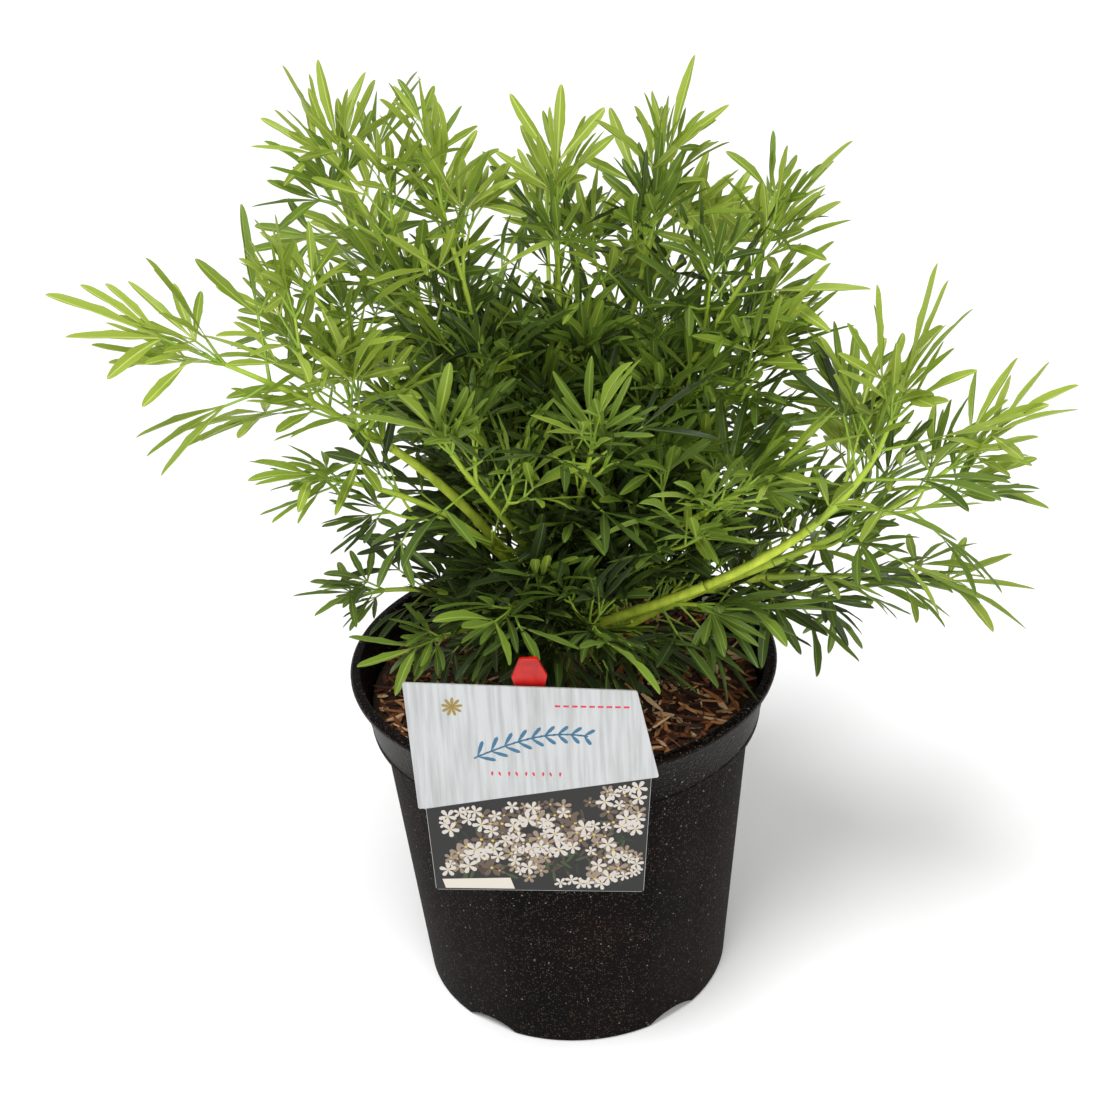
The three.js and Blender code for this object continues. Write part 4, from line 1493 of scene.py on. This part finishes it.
def growLeaf(grown, shoot, point, along, lean, turn, size, tint, roll, stalk=1.0):
    # a stalk with three or five fingers, turned on until it fits
    size *= (leaf["size"] + (roll() - 0.5) * leaf["sizeSpread"]) * shoot["size"]
    count = 3 if roll() < leaf["threes"] else 5
    fan = math.radians(blend(*leaf["fan"], roll())) * (leaf["threesFan"] if count == 3 else 1)
    reach = leaf["petiole"] * stalk * blend(*leaf["petioleStretch"], roll())
    tilt = math.radians((roll() - 0.5) * leaf["tilt"])
    sway = [(roll(), roll(), roll(), roll()) for _ in range(count)]
    for attempt in range(leaf["tries"]):
        heading = leanFrom(along, lean, turn + attempt * leaf["tryTurn"])
        shrink = size * (1 - attempt * leaf["tryShrink"])
        middle = point + heading * reach * shrink
        side = heading.cross(up).normalized()
        normal = side.cross(heading)
        normal.rotate(Quaternion(heading, tilt))
        fingers = []
        for i, (aside, lift, longer, _) in enumerate(sway):
            offset = i - (count - 1) / 2
            way = heading.copy()
            way.rotate(Quaternion(normal, offset * fan + (aside - 0.5) * leaf["sway"]))
            way = (way + normal * (lift - 0.55) * leaf["lift"]).normalized()
            shorter = 1 - abs(offset) * leaf["shorten"]
            length = leaf["length"] * shrink * shorter * blend(*leaf["lengthStretch"], longer)
            fingers.append((way, length))
        tips = [middle + way * length for way, length in fingers]
        bellies = [middle.lerp(tip, 0.55) for tip in tips]
        half = leaf["width"] * shrink * 0.5
        if not inBox([tip + way * leaf["margin"] for tip, (way, _) in zip(tips, fingers)]):
            continue
        if not fits(shoot, [point.lerp(middle, 0.6), middle], leaf["petioleRadius"]):
            continue
        if hidesBough([middle, *tips, *bellies]):
            continue
        if all(clearOfPot(p, leaf["margin"]) for p in tips + bellies) and clearOfLimbs(bellies, half):
            break
    else:
        return
    for (way, length), (_, _, _, wider) in zip(fingers, sway):
        # the tint, which carries painted light and shade, picks one of the six leaf steps
        step = max(0, min(5, int((tint + (wider - 0.5) * shade["fingers"]) * 6)))
        across = way.cross(normal).normalized()
        kind = int(roll() * len(grown.fingers))
        width = leaf["width"] * blend(0.45, 1, shrink) * blend(*leaf["widthStretch"], wider)
        grown.fingers[kind].append(frameOf(middle, across, way, across.cross(way), width, length, length))
        grown.tints[kind].append(step * 2)
    thin = leaf["petioleRadius"] * blend(0.7, 1, shrink)
    bow = point.lerp(middle, 0.5) + up * (roll() - 0.6) * leaf["petioleBow"]
    end = middle + heading * leaf["petioleTip"]
    grown.petioles.append([(point, thin * 1.4), (bow, thin), (middle, thin), (end, thin * 0.6)])


def growTwig(grown, shoot, point, heading, length, tint, roll, finer):
    # a twig that bends up towards the light, with leaves in pairs, and a finer twig in place of some
    end = point + (heading + up * shoot["lift"]).normalized() * length
    line = bezierLine(point, point + heading * length * 0.5, end, count=12)
    if not fits(shoot, [pointAt(line, t) for t in (0.35, 0.7, 1)], stemGrowth["twigRadius"]):
        growLeaf(grown, shoot, point, heading, 0, 0, 1, tint, roll)
        return
    nodes = max(1, round(length / stemGrowth["twigNode"]))
    strand = []
    for k in range(nodes * 4 + 1):
        share = k / (nodes * 4)
        swell = stemGrowth["twigSwell"] if k % 4 == 0 else 1
        radius = blend(stemGrowth["twigRadius"], stemGrowth["twigTipRadius"], share) * swell
        strand.append((pointAt(line, share), radius * (stemGrowth["finerRadius"] if finer else 1)))
    grown.stems.append(strand)
    turn = roll() * 360
    for k in range(1, nodes):
        share = k / nodes
        spot, along = pointAt(line, share), headingAt(line, share)
        for side in (0, 180):
            if not finer and k <= nodes / 2 and roll() < stemGrowth["forkChance"]:
                away = leanFrom(along, stemGrowth["twigLean"], turn + side)
                growTwig(grown, shoot, spot, away, length * stemGrowth["forkShare"], tint, roll, True)
            else:
                growLeaf(grown, shoot, spot, along, leaf["lean"], turn + side, leaf["twigSize"], tint, roll)
        turn += 90
    tint += shade["tuft"]
    count = 2 if finer else 3
    growTuft(grown, shoot, pointAt(line, 1), headingAt(line, 1), count, leaf["tuftSize"], tint, roll)


def growTuft(grown, shoot, point, heading, count, size, tint, roll):
    # the leaves at a tip: one goes straight on, the others stand round it
    growLeaf(grown, shoot, point, heading, 8, roll() * 360, size, tint + shade["tip"], roll, 0.6)
    turn = roll() * 360
    size *= leaf["besideSize"]
    for k in range(count):
        lean = leaf["endLean"] * blend(*leaf["endStretch"], roll())
        growLeaf(grown, shoot, point, heading, lean, turn + k * 360 / count, size, tint, roll, 0.7)


def growShoot(grown, shoot):
    # a mass from its tip down: an end tuft, then nodes a golden turn apart, with a twig and a leaf at each
    roll = dice(stemGrowth["firstSeed"] + shoot["index"])
    start = shoot["bare"] + seam / shoot["line"]["length"]
    stem = stretchOf(shoot["line"], start, 1)
    length = stem["length"]
    spacing = blend(*stemGrowth["spacing"], shoot["open"])
    joints = max(3, round(length / spacing))
    strand = []
    for k in range(joints * 5 + 1):
        share = k / (joints * 5)
        radius = blend(bough["endRadius"], stemGrowth["tipRadius"], share)
        strand.append((pointAt(stem, share), radius * (stemGrowth["nodeSwell"] if k % 5 == 0 else 1)))
    grown.stems.append(strand)
    tip = pointAt(stem, 1)
    growLeaf(grown, shoot, tip, headingAt(stem, 1), 0, 0, leaf["leadSize"], paintedShadeTint(tip, 1), roll)
    growTuft(grown, shoot, tip, headingAt(stem, 1), 4, 1, paintedShadeTint(tip, 0.8), roll)
    if "crest" in shoot:
        growTwig(grown, shoot, tip, headingAt(stem, 1), shoot["crest"], paintedShadeTint(tip, 0.5), roll, True)
    turn = roll() * 360
    for k in range(joints - 1, -1, -1):
        share = (k + 0.25 * (k == 0)) / joints
        point, along = pointAt(stem, share), headingAt(stem, share)
        young = min(1, stemGrowth["youngShare"] + (1 - share) * length / stemGrowth["youngReach"])
        twigLength = shoot["twig"] * blend(*stemGrowth["twigStretch"], roll()) * young
        tint = paintedShadeTint(point + along * twigLength, roll())
        if k == joints - 1 or roll() > blend(*stemGrowth["twigChance"], shoot["open"]):
            growLeaf(grown, shoot, point, along, leaf["lean"] * 0.9, turn, leaf["stemSize"], tint, roll)
        else:
            away = leanFrom(along, stemGrowth["twigLean"], turn)
            growTwig(grown, shoot, point, away, twigLength, tint, roll, False)
        tint -= shade["opposite"]
        growLeaf(grown, shoot, point, along, leaf["lean"], turn + 180, leaf["stemSize"], tint, roll, 1.15)
        turn += goldenTurn
    for i in range(shoot["inner"]):
        share = (stemGrowth["innerStart"] - i * stemGrowth["innerStep"]) * shoot["bare"]
        point, along = pointAt(shoot["line"], share), headingAt(shoot["line"], share)
        for side in (0, 180):
            away = leanFrom(along, stemGrowth["twigLean"] * stemGrowth["innerLean"], turn + side)
            twigLength = stemGrowth["twigLength"] * blend(*stemGrowth["innerStretch"], roll())
            growTwig(grown, shoot, point, away, twigLength, paintedShadeTint(point, roll()), roll, False)
        turn += goldenTurn


def fingerOutline(t):
    # half the width of a leaf finger: narrow at the foot, widest past the middle, drawn in to the tip
    widest = leaf["widest"]
    if t < widest:
        rise = t / widest
        return blend(leaf["foot"], 1, rise * rise * (3 - 2 * rise)) / 2
    return math.sqrt(max(0, 1 - ((t - widest) / (1 - widest)) ** 2)) / 2


def fingerArrays(droop, sway, twist):
    # one narrow leaf finger along +Y, one long and one wide, folded along a pale midrib, with a toothed edge
    bm = bmesh.new()
    stations = leaf["stations"]
    bmesh.ops.create_grid(bm, x_segments=3, y_segments=stations, size=0.5)
    for face in bm.faces:
        face.material_index = 1 if abs(face.calc_center_median().x) < 0.1 else 0
    for v in bm.verts:
        step = round((v.co.y + 0.5) * stations)
        t = 1 - (1 - step / stations) ** leaf["tipCrowding"]
        half = max(fingerOutline(t), 0.03)
        side = 1 if v.co.x > 0 else -1
        if abs(v.co.x) > 0.4:
            half *= 1 + leaf["tooth"] * (-1) ** step * (1 - t)
            rise = leaf["fold"] * half
        else:
            half = min(half, leaf["ribShare"] * blend(1, 0.4, t))
            rise = leaf["ribHeight"]
        wave = leaf["wave"] * math.sin(t * leaf["waves"] + side) * half
        level = rise - droop * t * t + wave + twist * side * half * (t - 0.3)
        v.co = (side * half + sway * t * t * 2, t, level)
    return shapeArrays(bm)


def leafMaterial(name, colour, through):
    # a leaf reflects most of the light and lets some through
    finish = Finish(name, colour, 0.42)
    finish.uneven(finish.pattern(), 900, 0.00012)
    finish.matte(0.3)
    back = finish.add("ShaderNodeBsdfTranslucent", Color=linear(through))
    mix = finish.add("ShaderNodeMixShader", Fac=0.2)
    wire(
        finish.tree,
        (finish.shader, "BSDF", mix, 1),
        (back, "BSDF", mix, 2),
        (mix, "Shader", finish.nodes["Material Output"], "Surface"),
    )
    return finish.material


def makeCrown():
    fingers = [fingerArrays(*bend) for bend in leaf["bends"]]
    leaves = []
    # a leaf and a midrib material for each step from painted shade to painted light
    for i, (tint, rib) in enumerate(zip(leafTints, ribTints)):
        leaves.append(leafMaterial(f"leafTint{i + 1}", tint, rib))
        leaves.append(leafMaterial(f"ribTint{i + 1}", rib, rib))
    stemYoung = plainTint("stemYoung", "#aac23e", 0.5)
    stemLeaf = plainTint("stemLeaf", "#8fae3a", 0.5)
    for part in ("left", "top", "right", "front", "back"):
        grown = Sprays()
        names = [name for name, shoot in shoots.items() if shoot["part"] == part]
        for name in names:
            growShoot(grown, shoots[name])
        copies = [
            joinedCopies(shape, frames, np.array(tints))
            for shape, frames, tints in zip(fingers, grown.fingers, grown.tints)
        ]
        mesh = meshOfParts(f"leaves_{part}", copies)
        finishPiece(f"leaves_{part}", mesh, leaves, [f"foliage_{name}" for name in names])
        finishPiece(f"twigs_{part}", tubeMesh(f"twigs_{part}", grown.stems, 1), [stemYoung])
        finishPiece(f"petioles_{part}", tubeMesh(f"petioles_{part}", grown.petioles, 0), [stemLeaf])
        print("crown", part, "twigs", len(grown.stems), "leaves", len(grown.petioles))


# The studio: a pale floor and backdrop, soft light from above and in front, and the camera.
studio = {
    "lookAt": (-0.0033, 0, 0.217),
    "distance": 0.8,
    "elevation": 28.64,
    "roll": 3.1,
    "lens": 60.43,
    "sensor": 36,
    "softLight": 0.52,
    "floorSize": 12,
}
daylight = {"kind": "SUN", "bearing": 240, "rise": 67, "distance": 2, "power": 2.3, "spread": 26}
frontLight = {"kind": "AREA", "bearing": 285, "rise": 22, "distance": 1.4, "power": 8, "size": 1}


def addLight(name, given):
    # a lamp that shines at the plant from the given side and height
    lamp = bpy.data.lights.new(name, given["kind"])
    lamp.energy = given["power"]
    holder = bpy.data.objects.new(name, lamp)
    away = slope(given["bearing"], given["rise"])
    holder.location = Vector(studio["lookAt"]) + away * given["distance"]
    holder.rotation_euler = away.to_track_quat("Z", "Y").to_euler()
    bpy.context.scene.collection.objects.link(holder)
    return lamp


def makeWorld():
    # the backdrop is as white as the floor, and its light on the plant is softer than that
    world = bpy.data.worlds.new("studio")
    bpy.context.scene.world = world
    world.use_nodes = True
    tree = world.node_tree
    sky = tree.nodes["Background"]
    sky.inputs["Color"].default_value = (1, 1, 1, 1)
    path = tree.nodes.new("ShaderNodeLightPath")
    level = tree.nodes.new("ShaderNodeMapRange")
    level.inputs["To Min"].default_value = studio["softLight"]
    wire(tree, (path, "Is Camera Ray", level, "Value"), (level, "Result", sky, "Strength"))


def makeStudio():
    bm = bmesh.new()
    bmesh.ops.create_grid(bm, x_segments=1, y_segments=1, size=studio["floorSize"])
    floor = bpy.data.objects.new("floor", meshFrom(bm, "floor"))
    floor.data.materials.append(Finish("floorPaper", "#fafafa", 0.95).material)
    bpy.context.scene.collection.objects.link(floor)
    makeWorld()
    addLight("daylight", daylight).angle = math.radians(daylight["spread"])
    addLight("frontLight", frontLight).size = frontLight["size"]
    bpy.context.scene.view_settings.view_transform = "Standard"
    rise = math.radians(studio["elevation"])
    place = Vector(studio["lookAt"]) + Vector((0, -math.cos(rise), math.sin(rise))) * studio["distance"]
    lens = bpy.data.cameras.new("camera")
    lens.sensor_width = studio["sensor"]
    lens.lens = studio["lens"]
    camera = bpy.data.objects.new("camera", lens)
    camera.matrix_world = (
        Matrix.Translation(place)
        @ Matrix.Rotation(math.pi / 2 - rise, 4, "X")
        @ Matrix.Rotation(math.radians(-studio["roll"]), 4, "Z")
    )
    bpy.context.scene.collection.objects.link(camera)
    bpy.context.scene.camera = camera


makeStudio()
print("studio done")
makePot()
print("pot done")
makeSoil()
makeChips()
makeFibres()
print("soil done")
makeLabel()
makePeg()
print("label done")
makeLimbs()
limbStarts = np.array([start for start, _, _ in limbs])
limbEnds = np.array([end for _, end, _ in limbs])
limbRadii = np.array([radius for _, _, radius in limbs])
print("limbs done")
makeCrown()
print("crown done")
